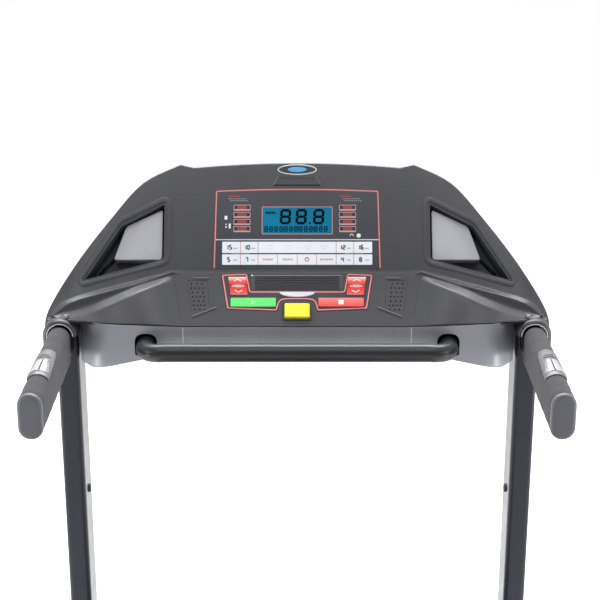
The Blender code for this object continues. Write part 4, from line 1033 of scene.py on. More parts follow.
def lcd_window():
    piece("lcd_glass_plate", lambda bm: add_plate(bm, UPPER, LCD, 0.0000, 0.0010, 0.0003, 2), LCD_TEAL,
          "lcd_display")
    frame_line = beside(LCD, 0.0013)
    piece("lcd_frame", lambda bm: add_strip(bm, UPPER, frame_line, 0.0012, 0.0002, 0.0009), PRINT_PINK)
    low, high = 0.0009, 0.0011

    def big(bm):
        for x in (-0.0290, -0.0010, 0.0300):
            add_digit(bm, UPPER, "8", x, 0.0815, 0.0150, 0.0235, 0.0047, low, high, 0.06)
        add_plate(bm, UPPER, circle(0.0225, 0.0815, 0.0019, 12), low, high)

    piece("lcd_large_digits", big, LCD_INK)

    def small(bm):
        for i in range(13):
            x = -0.0575 + i * 0.0088
            add_digit(bm, UPPER, "8", x, 0.0665, 0.0046, 0.0088, 0.0018, low, high, 0.04)
        for i in (4, 7, 10):
            x = -0.0593 + i * 0.0088
            add_plate(bm, UPPER, box_outline(x - 0.0004, 0.0655, x + 0.0004, 0.0755), low, high)
        for i in range(5):
            x = -0.0560 + i * 0.0036
            add_plate(bm, UPPER, box_outline(x, 0.0985, x + 0.0028, 0.1025), low, high)
    piece("lcd_small_digits", small, LCD_INK)


KEY_ROWS = ((0.0272, 0.0476), (0.0058, 0.0248))
WIDE_XS = (-0.1330, -0.1000, -0.0690, 0.0690, 0.1000, 0.1330)
CELL_XS = (-0.1330, -0.1000, -0.0690, -0.0345, 0.0, 0.0345, 0.0690, 0.1000, 0.1330)
PRESETS = ((("15", -0.1165), ("10", -0.0845), ("12", 0.0845), ("16", 0.1165)),
           (("5", -0.1165), ("7", -0.0845), ("4", 0.0845), ("8", 0.1165)))


def quick_keys():
    """The two rows of white membrane cells with their generic numbers and marks."""
    low, high, ink = 0.0002, 0.0012, 0.0014

    def film(bm):
        for (foot, head), xs in zip(KEY_ROWS, (WIDE_XS, CELL_XS)):
            for i, (a, b) in enumerate(zip(xs, xs[1:])):
                outline = box_outline(a + 0.0003, foot, b - 0.0003, head, 0.0016 if i in (0, len(xs) - 2) else 0.0003, 3)
                add_plate(bm, UPPER, outline, low, high, 0.0003, 2)
    piece("quick_key_cells", film, WHITE_FILM, "quick_key_film")

    def dividers(bm):
        for (foot, head), xs in zip(KEY_ROWS, (WIDE_XS, CELL_XS)):
            for x in xs[1:-1]:
                line = flat([(x, foot), (x, head)])
                add_strip(bm, UPPER, line, 0.0011, 0.0004, high + 0.0001, False)
        for x0, x1 in ((-0.1165, -0.0845), (0.0845, 0.1165)):
            line = flat([(x0, 0.0260), (x1, 0.0260)])
            add_strip(bm, UPPER, line, 0.0008, 0.0004, high, False)
    piece("quick_key_dividers", dividers, PRINT_PINK)

    def numbers(bm):
        for (foot, head), row in zip(KEY_ROWS, PRESETS):
            for digits, x in row:
                add_number(bm, UPPER, digits, x - 0.0046, (foot + head) / 2, 0.0074, high - 0.0002, ink)
                for k in range(3):
                    add_plate(bm, UPPER, box_outline(x + 0.0040 + k * 0.0022, foot + 0.0078,
                                                     x + 0.0054 + k * 0.0022, foot + 0.0092), high - 0.0002, ink)
    piece("quick_key_numbers", numbers, PRINT_BLACK)

    def red_marks(bm):
        v = 0.0155
        for middle, count in ((-0.0518, 6), (-0.0172, 6), (0.0518, 8)):
            for k in range(count):
                x = middle + (k - (count - 1) / 2) * 0.0030
                lean = 0.0006 if k % 2 else -0.0006
                add_strip(bm, UPPER, flat([(x - lean, v - 0.0016), (x + lean, v + 0.0016)]), 0.0013,
                          high - 0.0002, ink, False)
        add_strip(bm, UPPER, circle(0.0172, v, 0.0034, 24), 0.0013, high - 0.0002, ink)
        add_strip(bm, UPPER, flat([(0.0172, v), (0.0172, v + 0.0022)]), 0.0010, high - 0.0002, ink, False)
    piece("quick_key_red_marks", red_marks, PRINT_RED)

    def faint(bm):
        v = 0.0390
        for x in (-0.0480, -0.0160, 0.0190, 0.0480):
            for dx, dv in ((-0.0045, 0.0), (0.0, 0.0012), (0.0045, 0.0), (0.0, -0.0040)):
                outline = box_outline(x + dx - 0.0016, v + dv - 0.0006, x + dx + 0.0016, v + dv + 0.0006)
                add_plate(bm, UPPER, outline, high - 0.0002, ink)
    piece("quick_key_faint_marks", faint, SILVER_PRINT_AND_HIGHLIGHT)


def small_keys():
    """Four programme keys on each side of the display, with their printed marks and a pale strip along each key's lower
    edge that is painted highlight.
    """
    low, high = 0.0002, 0.0010
    xs = (-0.1125, -0.0835), (0.0750, 0.1040)
    spots = []
    for a, b in xs:
        for row in range(4):
            foot = 0.0657 + 0.0131 * row
            spots.append((a, foot, b, foot + 0.0096))

    def frames(bm):
        for a, foot, b, head in spots:
            add_strip(bm, UPPER, box_outline(a, foot, b, head, 0.0008, 2), 0.0010, low, high)
            # Painted highlight: a pale strip along the key's lower edge.
            add_plate(bm, UPPER, box_outline(a + 0.0010, foot + 0.0004, b - 0.0010, foot + 0.0021), low, high + 0.0001)
    piece("programme_key_frames_and_highlights", frames, FRAME_PINK_AND_HIGHLIGHT)

    def caps(bm):
        for a, foot, b, head in spots:
            add_plate(bm, UPPER, box_outline(a + 0.0006, foot + 0.0021, b - 0.0006, head - 0.0006), low, high - 0.0002)
    piece("programme_keys", caps, PRINT_BLACK)

    def centres(bm):
        for a, foot, b, head in spots:
            outline = box_outline(a + 0.0060, foot + 0.0026, b - 0.0060, head - 0.0012, 0.0024, 3)
            add_plate(bm, UPPER, outline, low, high)
    piece("programme_key_centres", centres, DARK_RED)

    top = FILM_TOP + 0.00015

    def red_bars(bm):
        for x in (-0.1150, 0.0830):
            add_plate(bm, UPPER, box_outline(x - 0.0070, 0.1300, x + 0.0130, 0.1318), low, top)
    piece("programme_red_bars", red_bars, PRINT_RED)

    def ticks(bm):
        for x in (-0.1220, 0.0800):
            for row in range(2):
                for k in range(9):
                    a = x + k * 0.0036 + row * 0.0030
                    add_plate(bm, UPPER, box_outline(a, 0.1255 - row * 0.0036, a + 0.0022, 0.1272 - row * 0.0036), low, top)
    piece("programme_ticks", ticks, PRINT_GREY)

    def icons(bm):
        add_plate(bm, UPPER, box_outline(-0.1290, 0.0880, -0.1240, 0.0950, 0.0010, 2), low, top)
        add_plate(bm, UPPER, box_outline(-0.1215, 0.0720, -0.1180, 0.0810, 0.0008, 2), low, top)
        add_plate(bm, UPPER, circle(-0.1262, 0.0745, 0.0016, 12), low, top)
        add_plate(bm, UPPER, circle(-0.1262, 0.0795, 0.0013, 12), low, top)
        add_plate(bm, UPPER, circle(0.1090, 0.0590, 0.0038, 24), low, top)
        arc = [Vector((0.0965 + 0.0030 * math.cos(math.radians(a)), 0.0580 + 0.0036 * math.sin(math.radians(a))))
               for a in range(0, 181, 15)]
        add_strip(bm, UPPER, arc, 0.0013, low, top, False)
    piece("programme_icons", icons, PRINT_WHITE)


# ---------------------------------------------------------------- key face
def control_face():
    film = piece("control_film", lambda bm: add_plate(bm, LOWER, CONTROL_FILM, -0.0030, FILM_TOP, 0.0002, 1), FILM,
                 "control_overlay")
    holes = [lambda bm, o=outline: add_plate(bm, LOWER, beside(o, 0.0004), -0.010, 0.010)
             for outline, _, _ in KEYS.values()]
    bake_modifiers(film, carve(film, holes))

    border = soften(CONTROL_LINE, [0.002, 0.002, 0.006, 0.006, 0.006, 0.006, 0.002, 0.002, 0.003, 0.003,
                                   0.004, 0.004, 0.003, 0.003], 4)
    top = FILM_TOP + 0.0001
    piece("control_border", lambda bm: add_strip(bm, LOWER, border, 0.0031, 0.0001, top), PRINT_RED)
    piece("control_border_core", lambda bm: add_strip(bm, LOWER, border, 0.0016, 0.0001, top + 0.0001),
          PRINT_PINK)

    for name, (outline, mat, slot) in KEYS.items():
        piece(name + "_cap", lambda bm: add_plate(bm, LOWER, outline, -0.0028, 0.0022, 0.0008), mat, name)
    key_marks()

    def bridge(bm):
        for side in (-1, 1):
            outline = rocker_outline(0.0796, 0.0844, 0.0004)
            add_plate(bm, LOWER, sided(outline, side), 0.0001, 0.0016, 0.0003, 2)
    piece("rocker_bridges", bridge, RED_SWITCH)

    def ovals(bm):
        for side in (-1, 1):
            x = side * sum(rocker_x(0.082)) / 2
            oval = [Vector((x + 0.0105 * p.x, 0.0820 + 0.0021 * p.y)) for p in circle(0, 0, 1, 28)]
            add_strip(bm, LOWER, oval, 0.0008, 0.0014, 0.0018)
            add_plate(bm, LOWER, box_outline(x - 0.0052, 0.0815, x + 0.0052, 0.0825), 0.0014, 0.0018)
    piece("rocker_ovals", ovals, PRINT_WHITE)

    ledge = [Vector((0.0310 * math.cos(math.radians(a)), 0.0693 + 0.0098 * math.sin(math.radians(a))))
             for a in range(180, 361, 10)]
    piece("key_ledge", lambda bm: add_plate(bm, LOWER, ledge, 0.0000, 0.0022, 0.0008), SILVER_PRINT_AND_HIGHLIGHT)
    safety_key()


def key_marks():
    """White chevrons on the rocker keys, and a plain symbol on the start and stop keys."""
    low, high = 0.0020, 0.0024
    for node in ("incline_up_key", "incline_down_key", "speed_up_key", "speed_down_key"):
        way = "up" if "_up_" in node else "down"
        side = 1 if node.startswith("speed") else -1
        foot, head = ROCKER_SPANS[way]
        x = side * sum(rocker_x((foot + head) / 2)) / 2
        middle = foot + (0.0062 if way == "up" else 0.0088)
        rise = 0.0042 if way == "up" else -0.0042
        line = flat([(x - 0.0068, middle), (x, middle + rise), (x + 0.0068, middle)])
        piece(node + "_chevron", lambda bm: add_strip(bm, LOWER, line, 0.0014, low, high, False), PRINT_WHITE,
              body=nodes[node]["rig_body"])
    play = flat([(-0.0800, 0.0435), (-0.0710, 0.0485), (-0.0800, 0.0535)])
    piece("start_symbol", lambda bm: add_plate(bm, LOWER, play, low, high), GREEN_MARK,
          body=nodes["start_key"]["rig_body"])
    halt = box_outline(0.0720, 0.0440, 0.0810, 0.0530, 0.0008, 2)
    piece("stop_symbol", lambda bm: add_plate(bm, LOWER, halt, low, high), PRINT_WHITE,
          body=nodes["stop_key"]["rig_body"])


def safety_key():
    def surround(bm):
        hole = beside(SAFETY_KEY, 0.0004)
        edge = len(hole)
        outer = soften(flat([(-0.0255, 0.0125), (0.0255, 0.0125), (0.0255, 0.0500), (-0.0255, 0.0500)]), 0.004, 4)
        assert len(outer) == edge
        rows = []
        for line, height in ((outer, -0.0050), (outer, 0.0006), (beside(outer, -0.0006), 0.0010),
                             (beside(hole, 0.0004), 0.0010), (hole, 0.0006), (hole, -0.0050)):
            rows.append(at_height(LOWER, line, height))
        add_rows(bm, rows)
    piece("safety_key_surround", surround, DARK)

    def key(bm):
        add_plate(bm, LOWER, SAFETY_KEY, -0.0050, 0.0062, 0.0022, 4)
    piece("safety_key_block", key, YELLOW_KEY, "safety_key")


def speakers():
    for side, label in SIDES:
        holes = []
        rows = 7
        for row in range(rows):
            v = 0.0345 + row * 0.0088
            first, last = 0.1565 + 0.10 * (v - 0.03), 0.1810 + 0.16 * (v - 0.03)
            count = 4 if row % 2 else 3
            for k in range(count):
                share = (k + 0.5) / count
                holes.append((side * (first + (last - first) * share), v))
        outline = sided(beside(SPEAKER, 0.0001), side)
        plate = piece(label + "_speaker_cover", lambda bm: add_plate(bm, LOWER, outline, -0.0030, -0.0004), CHARCOAL,
                      label + "_speaker_grille")

        def dots(bm):
            for x, v in holes:
                add_plate(bm, LOWER, circle(x, v, 0.0015, 12), -0.0060, 0.0020)
        bake_modifiers(plate, carve(plate, [dots]))
        back = sided(beside(SPEAKER, -0.0010), side)
        piece(label + "_speaker_cloth", lambda bm: add_plate(bm, LOWER, back, -0.0050, -0.0032), PRINT_BLACK)


def fan_front():
    plate = piece("fan_slats", lambda bm: add_plate(bm, LOWER, FAN_PLATE, -0.0035, 0.0004, 0.0002, 1), CHARCOAL,
                  "fan_grille")

    def slots(bm):
        count, foot, pitch = 7, 0.0752, 0.00425
        for i in range(count):
            v = foot + i * pitch
            add_plate(bm, LOWER, box_outline(-0.0745, v, 0.0745, v + 0.0019, 0.0008, 2), -0.0100, 0.0100)
    bake_modifiers(plate, carve(plate, [slots]))
    line = flat([(-0.0790, 0.1035), (0.0790, 0.1035)])
    piece("fan_top_line", lambda bm: add_strip(bm, LOWER, line, 0.0010, 0.0002, 0.0008, False), PRINT_GREY)

    def lamp(bm):
        add_turned(bm, LOWER @ Matrix.Translation((-0.0795, 0.1040, 0)), [(0.0017, 0), (0.0017, 0.0009), (0.0010, 0.0016)], 16)
    piece("power_lamp", lamp, LED_GREEN)

    def shroud(bm):
        outer = beside(FAN_PLATE, -0.0020)
        add_plate(bm, LOWER, outer, -0.0066, -0.0052)
        for side in (-1, 1):
            add_plate(bm, LOWER, box_outline(side * 0.077 - 0.0012, 0.0760, side * 0.077 + 0.0012, 0.1030), -0.0051, -0.0036)
    cover = piece("fan_shroud", shroud, DARK)
    bake_modifiers(cover, carve(cover, [lambda bm: add_plate(bm, LOWER, circle(0, 0.0880, 0.0145, 32), -0.02, 0.01)]))


# ---------------------------------------------------------------- handles, bar and uprights
def handles():
    for side, label in SIDES:
        x = side * HANDLE_X
        to = axes((x, 0, HANDLE_Z), (1, 0, 0), (0, 0, 1))
        half = ((GRIP_HIGH.x - GRIP_LOW.x) / 2, (GRIP_HIGH.z - GRIP_LOW.z) / 2)
        skin = stadium(*half, 14)

        def foam(bm):
            """The sleeve: a soft outer skin with round ends, and the bore for the tube."""
            inner = beside(skin, -(half[0] - (HANDLE_HIGH.x - HANDLE_LOW.x) / 2 - 0.0003))
            rows = [[to @ Vector((p.x, p.y, -GRIP_LOW.y)) for p in inner]]
            length = GRIP_HIGH.y - GRIP_LOW.y
            steps = 28
            for i in range(steps + 1):
                y = GRIP_LOW.y + length * i / steps
                swell = 0.00025 * math.sin(i * 1.7) - 0.0002
                ends = -0.0014 if i in (0, steps) else 0.0
                rows.append([to @ Vector((p.x, p.y, -y)) for p in beside(skin, swell + ends)])
            rows.append([to @ Vector((p.x, p.y, -GRIP_HIGH.y)) for p in inner])
            add_rows(bm, rows)
        grip = piece(label + "_foam_grip", foam, FOAM, label + "_grip", angle=60)

        def cap(bm):
            depth = CAP_HIGH.y - CAP_LOW.y
            rings = []
            for inset, back in ((0.0, 0.0), (0.0, depth * 0.45), (0.0004, depth * 0.62), (0.0014, depth * 0.78),
                                (0.0030, depth * 0.90), (0.0052, depth * 0.97), (0.0085, depth)):
                rings.append([to @ Vector((p.x, p.y, -(CAP_HIGH.y - back))) for p in beside(skin, -inset)])
            add_loft(bm, rings)
        piece(label + "_handle_cap", cap, CAP_GREY_AND_RIB_HIGHLIGHT, label + "_grip_cap", angle=60)
        pulse_sensor(side, label, half)

        tube = stadium((HANDLE_HIGH.x - HANDLE_LOW.x) / 2, (HANDLE_HIGH.z - HANDLE_LOW.z) / 2, 12)
        piece(label + "_handle_pipe", lambda bm: add_loft(bm, [
            [to @ Vector((p.x, p.y, -y)) for p in tube] for y in (HANDLE_LOW.y + 0.0002, HANDLE_HIGH.y)]),
            SATIN_BLACK, label + "_handle_tube", angle=50)


def pulse_sensor(side, label, half):
    """A saddle on top of the grip with two steel contact plates."""
    radius = half[0]
    centre_z = HANDLE_Z + half[1] - radius
    x = side * HANDLE_X

    def around(angle, y, lift):
        a = math.radians(angle)
        return Vector((x + (radius + lift) * math.sin(a), y, centre_z + (radius + lift) * math.cos(a)))

    def patch(bm, near, far, edge_near, edge_far, low, high, steps=10):
        """A curved plate between two lengths, whose sides run between two angles at each end."""
        rings = []
        for k in range(steps + 1):
            share = k / steps
            a0 = edge_near[0] + (edge_near[1] - edge_near[0]) * share
            a1 = edge_far[0] + (edge_far[1] - edge_far[0]) * share
            rings.append([around(a0, near, low), around(a1, far, low), around(a1, far, high), around(a0, near, high)])
        add_loft(bm, rings)

    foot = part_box(label + "_pulse_sensor")[0].y

    def saddle(bm):
        steps, rows = 16, []
        lift, reach, length = 0.0030, 60, 0.110
        outline = []
        for k in range(steps + 1):
            t = k / steps
            round_end = min(1.0, math.sqrt(max(0.0, 1 - max(0.0, (t - 0.80) / 0.20) ** 2)))
            wide = reach * (1 - 0.22 * t) * (0.30 + 0.70 * round_end)
            outline.append((foot + length * t, wide, lift if 0 < k < steps else lift * 0.55))
        for y, wide, up in outline:
            ring = [around(-wide + 2 * wide * i / 16, y, up if 0 < i < 16 else 0.0004) for i in range(17)]
            ring += [around(wide - 2 * wide * i / 16, y, -0.0008) for i in range(17)]
            rows.append(ring)
        add_loft(bm, rows)
    piece(label + "_sensor_saddle", saddle, HOUSING_GREY, label + "_pulse_sensor", angle=45)

    def plates(bm):
        for a, b in (((4, 44), (3.5, 25)), ((-44, -4), (-25, -3.5))):
            patch(bm, foot + 0.0120, foot + 0.0600, a, b, 0.0018, 0.0038)
    piece(label + "_sensor_plates", plates, SENSOR_STEEL, angle=45)

    def marks(bm):
        patch(bm, foot + 0.0120, foot + 0.0600, (-2.5, 2.5), (-2.0, 2.0), 0.0018, 0.0034)
        patch(bm, foot + 0.0700, foot + 0.0740, (-26, 26), (-25, 25), 0.0018, 0.0034)
        patch(bm, foot + 0.0790, foot + 0.0825, (-18, 18), (-17, 17), 0.0018, 0.0034)
    piece(label + "_sensor_marks", marks, PRINT_BLACK, angle=45)


def front_bar():
    """The cross bar: straight in the middle, bent back at both ends into the lower shell."""
    radius = (BAR_HIGH.z - BAR_LOW.z - 0.006) / 2
    y, z = BAR_LOW.y + radius, BAR_HIGH.z - radius
    bend, straight, drop, tail = 0.036, 0.226, 0.006, 0.030
    half = [Vector((straight * i / 6, y, z)) for i in range(7)]
    for i in range(1, 17):
        a = math.pi / 2 * i / 16
        half.append(Vector((straight + bend * math.sin(a), y + bend * (1 - math.cos(a)), z - drop * i / 16)))
    half.append(half[-1] + Vector((0, tail, 0)))
    path = mirror(half)[:-1] + half
    piece("cross_bar", lambda bm: add_tube(bm, path, radius, 40), SATIN_BLACK, "front_bar",
          angle=60)


def uprights():
    half_w, half_d = (UPRIGHT_HIGH.x - UPRIGHT_LOW.x) / 2, (UPRIGHT_HIGH.y - UPRIGHT_LOW.y) / 2
    section = soften(flat([(-half_w, -half_d), (half_w, -half_d), (half_w, half_d), (-half_w, half_d)]), 0.0095, 7)
    middle_x, middle_y = (UPRIGHT_HIGH.x + UPRIGHT_LOW.x) / 2, (UPRIGHT_HIGH.y + UPRIGHT_LOW.y) / 2
    for side, label in SIDES:
        to = Matrix.Translation((side * middle_x, middle_y, 0))
        piece(label + "_post", lambda bm: add_loft(bm, [
            at_height(to, section, z) for z in (UPRIGHT_LOW.z, 0.4, 0.8, UPRIGHT_HIGH.z)]), UPRIGHT_PAINT,
            label + "_upright", angle=45)

        def plugs(bm):
            inner_x = side * (middle_x - half_w)
            for z in (0.765, 0.120, 0.160):
                spot = axes((inner_x, middle_y, z), (0, 1, 0), (0, 0, side))
                if (spot.to_3x3() @ Vector((0, 0, 1))).x * side > 0:
                    spot = axes((inner_x, middle_y, z), (0, -1, 0), (0, 0, side))
                add_turned(bm, spot, [(0.0080, -0.001), (0.0080, 0.0020), (0.0064, 0.0040), (0.0030, 0.0046)], 24)
        piece(label + "_post_plugs", plugs, DARK)

        def boot(bm):
            base = beside(section, 0.0065)
            top = beside(section, 0.0004)
            rings = [at_height(to, base, UPRIGHT_LOW.z + 0.0003), at_height(to, base, UPRIGHT_LOW.z + 0.020),
                     at_height(to, beside(section, 0.0045), UPRIGHT_LOW.z + 0.026),
                     at_height(to, top, UPRIGHT_LOW.z + 0.030)]
            add_loft(bm, rings)
        piece(label + "_post_boot", boot, DARK, angle=30)


# ---------------------------------------------------------------- deck, hood and base
def running_belt():
    """The belt loop with rolled edges."""
    radius = (BELT_HIGH.z - BELT_LOW.z) / 2
    centre_z = (BELT_HIGH.z + BELT_LOW.z) / 2
    front, rear = BELT_HIGH.y - radius, BELT_LOW.y + radius

    def loop(inset):
        points = []
        for i in range(37):
            a = math.pi * i / 36 - math.pi / 2
            points.append((front + (radius - inset) * math.cos(a), centre_z + (radius - inset) * math.sin(a)))
        for i in range(37):
            a = math.pi * i / 36 + math.pi / 2
            points.append((rear + (radius - inset) * math.cos(a), centre_z + (radius - inset) * math.sin(a)))
        return points

    def belt(bm):
        half = BELT_HIGH.x
        rows = []
        for x, inset in ((-half, 0.0012), (-half + 0.0008, 0.0), (half - 0.0008, 0.0), (half, 0.0012),
                         (half, 0.0018), (-half, 0.0018)):
            rows.append([Vector((x, y, z)) for y, z in loop(inset)])
        add_rows(bm, rows)
    piece("walking_belt", belt, BELT_CLOTH, "running_belt", angle=50)

    def edge_lines(bm):
        for side in (-1, 1):
            x = side * (BELT_HIGH.x - 0.014)
            add_box(bm, (x - 0.0014, rear, BELT_HIGH.z - 0.0004), (x + 0.0014, front, BELT_HIGH.z + 0.00025))
    piece("belt_edge_lines", edge_lines, PRINT_GREY, body="deck")


def side_rails():
    """Foot rails with rounded edges and raised anti-slip ribs."""
    for side, label in SIDES:
        low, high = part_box(label + "_side_rail")
        inner, outer = (low.x, high.x) if side > 0 else (high.x, low.x)
        step, skin = side, 0.0032
        section = [
            (inner, high.z - 0.0205), (inner, high.z - 0.0060), (inner + step * 0.0100, high.z),
            (outer - step * 0.0140, high.z), (outer - step * 0.0030, high.z - 0.0045), (outer, high.z - 0.0140),
            (outer, low.z), (outer - step * skin, low.z), (outer - step * skin, high.z - 0.0150),
            (outer - step * 0.0150, high.z - skin), (inner + step * 0.0105, high.z - skin),
            (inner + step * skin, high.z - 0.0075), (inner + step * skin, high.z - 0.0205),
        ]
        reach = [0.0006, 0.004, 0.004, 0.006, 0.005, 0.004, 0.0006, 0.0006, 0.003, 0.003, 0.003, 0.003, 0.0006]
        outline = soften([Vector((x, 0, z)) for x, z in section], reach, 3)

        def body(bm):
            add_loft(bm, [[Vector((p.x, y, p.z)) for p in outline] for y in (low.y, high.y)])
        rail = piece(label + "_foot_rail", body, RAIL_GREY, label + "_side_rail", angle=35)

        def notch(bm):
            xs = sorted((side * 0.2100, side * 0.2405))
            add_box(bm, (xs[0], 0.3950, 0.1600), (xs[1], 0.4600, 0.1900))
        bake_modifiers(rail, carve(rail, [notch]))

        def tread(bm):
            to = Matrix.Translation((0, 0, high.z))
            for k in range(6):
                x = side * (0.2450 + 0.0130 * k)
                outline = box_outline(x - 0.0022, low.y + 0.050, x + 0.0022, high.y - 0.080, 0.0020, 3)
                add_plate(bm, to, outline, -0.0006, 0.0009, 0.0006, 2)
        piece(label + "_rail_tread", tread, RUBBER, body="deck")


def end_caps():
    for side, label in SIDES:
        low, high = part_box(label + "_end_cap")
        inner, outer = (low.x, high.x) if side > 0 else (high.x, low.x)

        def cap(bm):
            """A hooded corner: a round rear wall, a roof over the roller's end and an outer skirt."""
            rings = []
            outline = [(inner, 0.0), (outer, 0.0)]
            section = soften([Vector((0, low.y, low.z)), Vector((0, low.y, high.z)), Vector((0, high.y, high.z))],
                             [0, 0.014, 0], 8, closed=False)
            for x, shrink in ((outline[0][0], 0.0), (outer - side * 0.0060, 0.0), (outer - side * 0.0018, 0.0016),
                              (outer, 0.0052)):
                rings.append([Vector((x, p.y + (shrink if p.y < high.y - 0.001 else 0),
                                      p.z - (shrink if p.z > low.z + 0.001 else 0))) for p in section])
            add_loft(bm, rings, capped=False, closed=False)
            bm.faces.ensure_lookup_table()
        obj = piece(label + "_rear_cap", cap, CHARCOAL, label + "_end_cap", angle=50)
        shell_from_surface(obj, 0.0040)

        def skirt(bm):
            x = outer - side * 0.0024
            points = flat([(low.y + 0.006, low.z), (high.y, low.z), (high.y, high.z - 0.006), (low.y + 0.006, high.z - 0.006)])
            outline = soften(points, [0.001, 0.004, 0.002, 0.012], 4)
            to = axes((x, 0, 0), (0, 1, 0), (0, 0, 1))
            add_plate(bm, to, outline, -0.0020, 0.0020, 0.0008, 2)
        piece(label + "_rear_cap_side", skirt, CHARCOAL, body="deck")

        def screws(bm):
            for x, z in ((side * 0.250, 0.110), (side * 0.320, 0.110)):
                spot = axes((x, low.y, z), (1, 0, 0), (0, 0, 1))
                add_turned(bm, spot, [(0.0058, -0.0010), (0.0058, 0.0002), (0.0046, 0.0004)], 24)
        piece(label + "_rear_cap_screws", screws, ZINC, body="deck")


def shell_from_surface(obj, thickness):
    solidified(obj, thickness)
    bake_modifiers(obj, angle=45)


def motor_hood():
    """A moulded hood with rolled edges, side vents and a raised top panel."""
    half = HOOD_HIGH.x
    outline = flat([(0.520, 0.098), (0.520, 0.176), (0.532, 0.216), (0.580, 0.247), (0.740, 0.254), (0.806, 0.238),
                    (0.846, 0.196), (0.856, 0.150), (0.856, 0.098)])
    line = soften(outline, [0, 0.014, 0.022, 0.030, 0.040, 0.030, 0.026, 0.014, 0], 6, closed=False)
    middle = Vector((0.690, 0.098))

    def shell(bm):
        rings = []
        for x, inset in ((-half, 0.014), (-half + 0.0015, 0.0075), (-half + 0.005, 0.0030), (-half + 0.012, 0.0),
                         (half - 0.012, 0.0), (half - 0.005, 0.0030), (half - 0.0015, 0.0075), (half, 0.014)):
            ring = []
            for p in line:
                towards = middle - p
                if p.y < 0.100:
                    towards.y = 0
                shift = towards.normalized() * inset
                ring.append(Vector((x, p.x + shift.x, max(0.098, p.y + shift.y))))
            rings.append(ring)
        rows = [[bm.verts.new(p) for p in ring] for ring in rings]
        for a, b in zip(rows, rows[1:]):
            for i in range(len(line) - 1):
                bm.faces.new((a[i], b[i], b[i + 1], a[i + 1]))
        bm.faces.new(rows[0])
        bm.faces.new(rows[-1][::-1])
    hood = piece("front_hood", shell, CHARCOAL, "motor_hood", angle=40)
    solidified(hood, 0.003)

    def openings(bm):
        add_box(bm, (-0.3045, 0.500, 0.080), (-0.2845, 0.560, 0.165))
        add_box(bm, (0.2845, 0.500, 0.080), (0.3045, 0.560, 0.165))
        add_box(bm, (-0.2400, 0.500, 0.079), (-0.2100, 0.560, 0.192))

    def inlet(bm):
        add_box(bm, (-0.2305, 0.835, 0.1195), (-0.1795, 0.870, 0.1505))

    def vents(bm):
        for side in (-1, 1):
            for k in range(7):
                y = 0.610 + k * 0.0240
                add_box(bm, (side * half - 0.010, y, 0.150), (side * half + 0.010, y + 0.009, 0.205))
        for k in range(9):
            x = -0.100 + k * 0.0250
            add_box(bm, (x - 0.0045, 0.842, 0.118), (x + 0.0045, 0.870, 0.160))
    cutters = carve(hood, [openings, inlet, vents])
    bake_modifiers(hood, cutters)

    def panel(bm):
        to = Matrix.Translation((0, 0, 0.2505))
        ring = box_outline(-0.235, 0.605, 0.235, 0.738, 0.030, 6)
        add_strip(bm, to, ring, 0.0050, -0.0030, 0.0026)
    piece("hood_panel_rib", panel, CHARCOAL, body="motor_frame")

    def screws(bm):
        for x in (-0.29, 0.29):
            for y, z in ((0.600, 0.2480), (0.735, 0.2520)):
                spot = Matrix.Translation((x, y, z))
                add_turned(bm, spot, [(0.0060, -0.004), (0.0060, 0.0008), (0.0045, 0.0020), (0.0015, 0.0020)], 24)
    piece("hood_screws", screws, ZINC, body="motor_frame")

    def inlet_body(bm):
        low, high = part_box("mains_inlet")
        to = axes((0, high.y, 0), (-1, 0, 0), (0, 0, 1))
        outer = [Vector((-x, z)) for x, z in ((low.x, low.z), (high.x, low.z), (high.x, high.z), (low.x, high.z))][::-1]
        if outer[0].x > outer[1].x:
            outer = outer[::-1]
        hole = beside(outer, -0.0030)
        rows = []
        for line, height in ((outer, low.y - high.y), (outer, 0.0), (hole, 0.0), (hole, -0.0100)):
            rows.append(at_height(to, line, height))
        add_loft(bm, rows)
    piece("power_inlet", inlet_body, DARK, "mains_inlet")


def wheels_and_feet():
    """Transport wheels with a dished hub."""
    for side, label in SIDES:
        low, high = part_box(label + "_transport_wheel")
        centre = (low + high) / 2
        width, radius = high.x - low.x, (high.z - low.z) / 2
        to = axes((low.x, centre.y, centre.z), (0, 1, 0), (0, 0, 1))
        profile = [(0.0048, 0.0020), (0.0110, 0.0006), (0.0190, 0.0030), (0.0240, 0.0010), (radius - 0.0030, 0.0),
                   (radius - 0.0008, 0.0012), (radius, 0.0040), (radius, width - 0.0040),
                   (radius - 0.0008, width - 0.0012), (radius - 0.0030, width), (0.0240, width - 0.0010),
                   (0.0190, width - 0.0030), (0.0110, width - 0.0006), (0.0048, width - 0.0020)]

        def wheel(bm):
            add_rows(bm, [at_height(to, circle(0, 0, r, 40), h) for r, h in profile])
        piece(label + "_wheel", wheel, RUBBER, label + "_transport_wheel", angle=50)


def rollers():
    for name, node in (("front_roller_drum", "front_roller"), ("rear_roller_drum", "rear_roller")):
        low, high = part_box(node)
        y, z = (low.y + high.y) / 2, (low.z + high.z) / 2
        to = axes((low.x, y, z), (0, 1, 0), (0, 0, 1))
        if node == "front_roller":
            profile = [(0.0060, 0.0), (0.0060, 0.0095), (0.0275, 0.0097), (0.0290, 0.0110), (0.0290, 0.0120),
                       (0.0278, 0.0128), (0.0278, 0.0206), (0.0290, 0.0214), (0.0290, 0.0237), (0.0250, 0.0240),
                       (0.0250, 0.4800), (0.0060, 0.4802), (0.0060, 0.4960)]
        else:
            profile = [(0.0060, 0.0), (0.0060, 0.0250), (0.0235, 0.0252), (0.0250, 0.0266), (0.0250, 0.4936),
                       (0.0235, 0.4950), (0.0060, 0.4952), (0.0060, 0.5200)]
        piece(name, lambda bm: add_turned(bm, to, profile, 48), ZINC, node, angle=40)


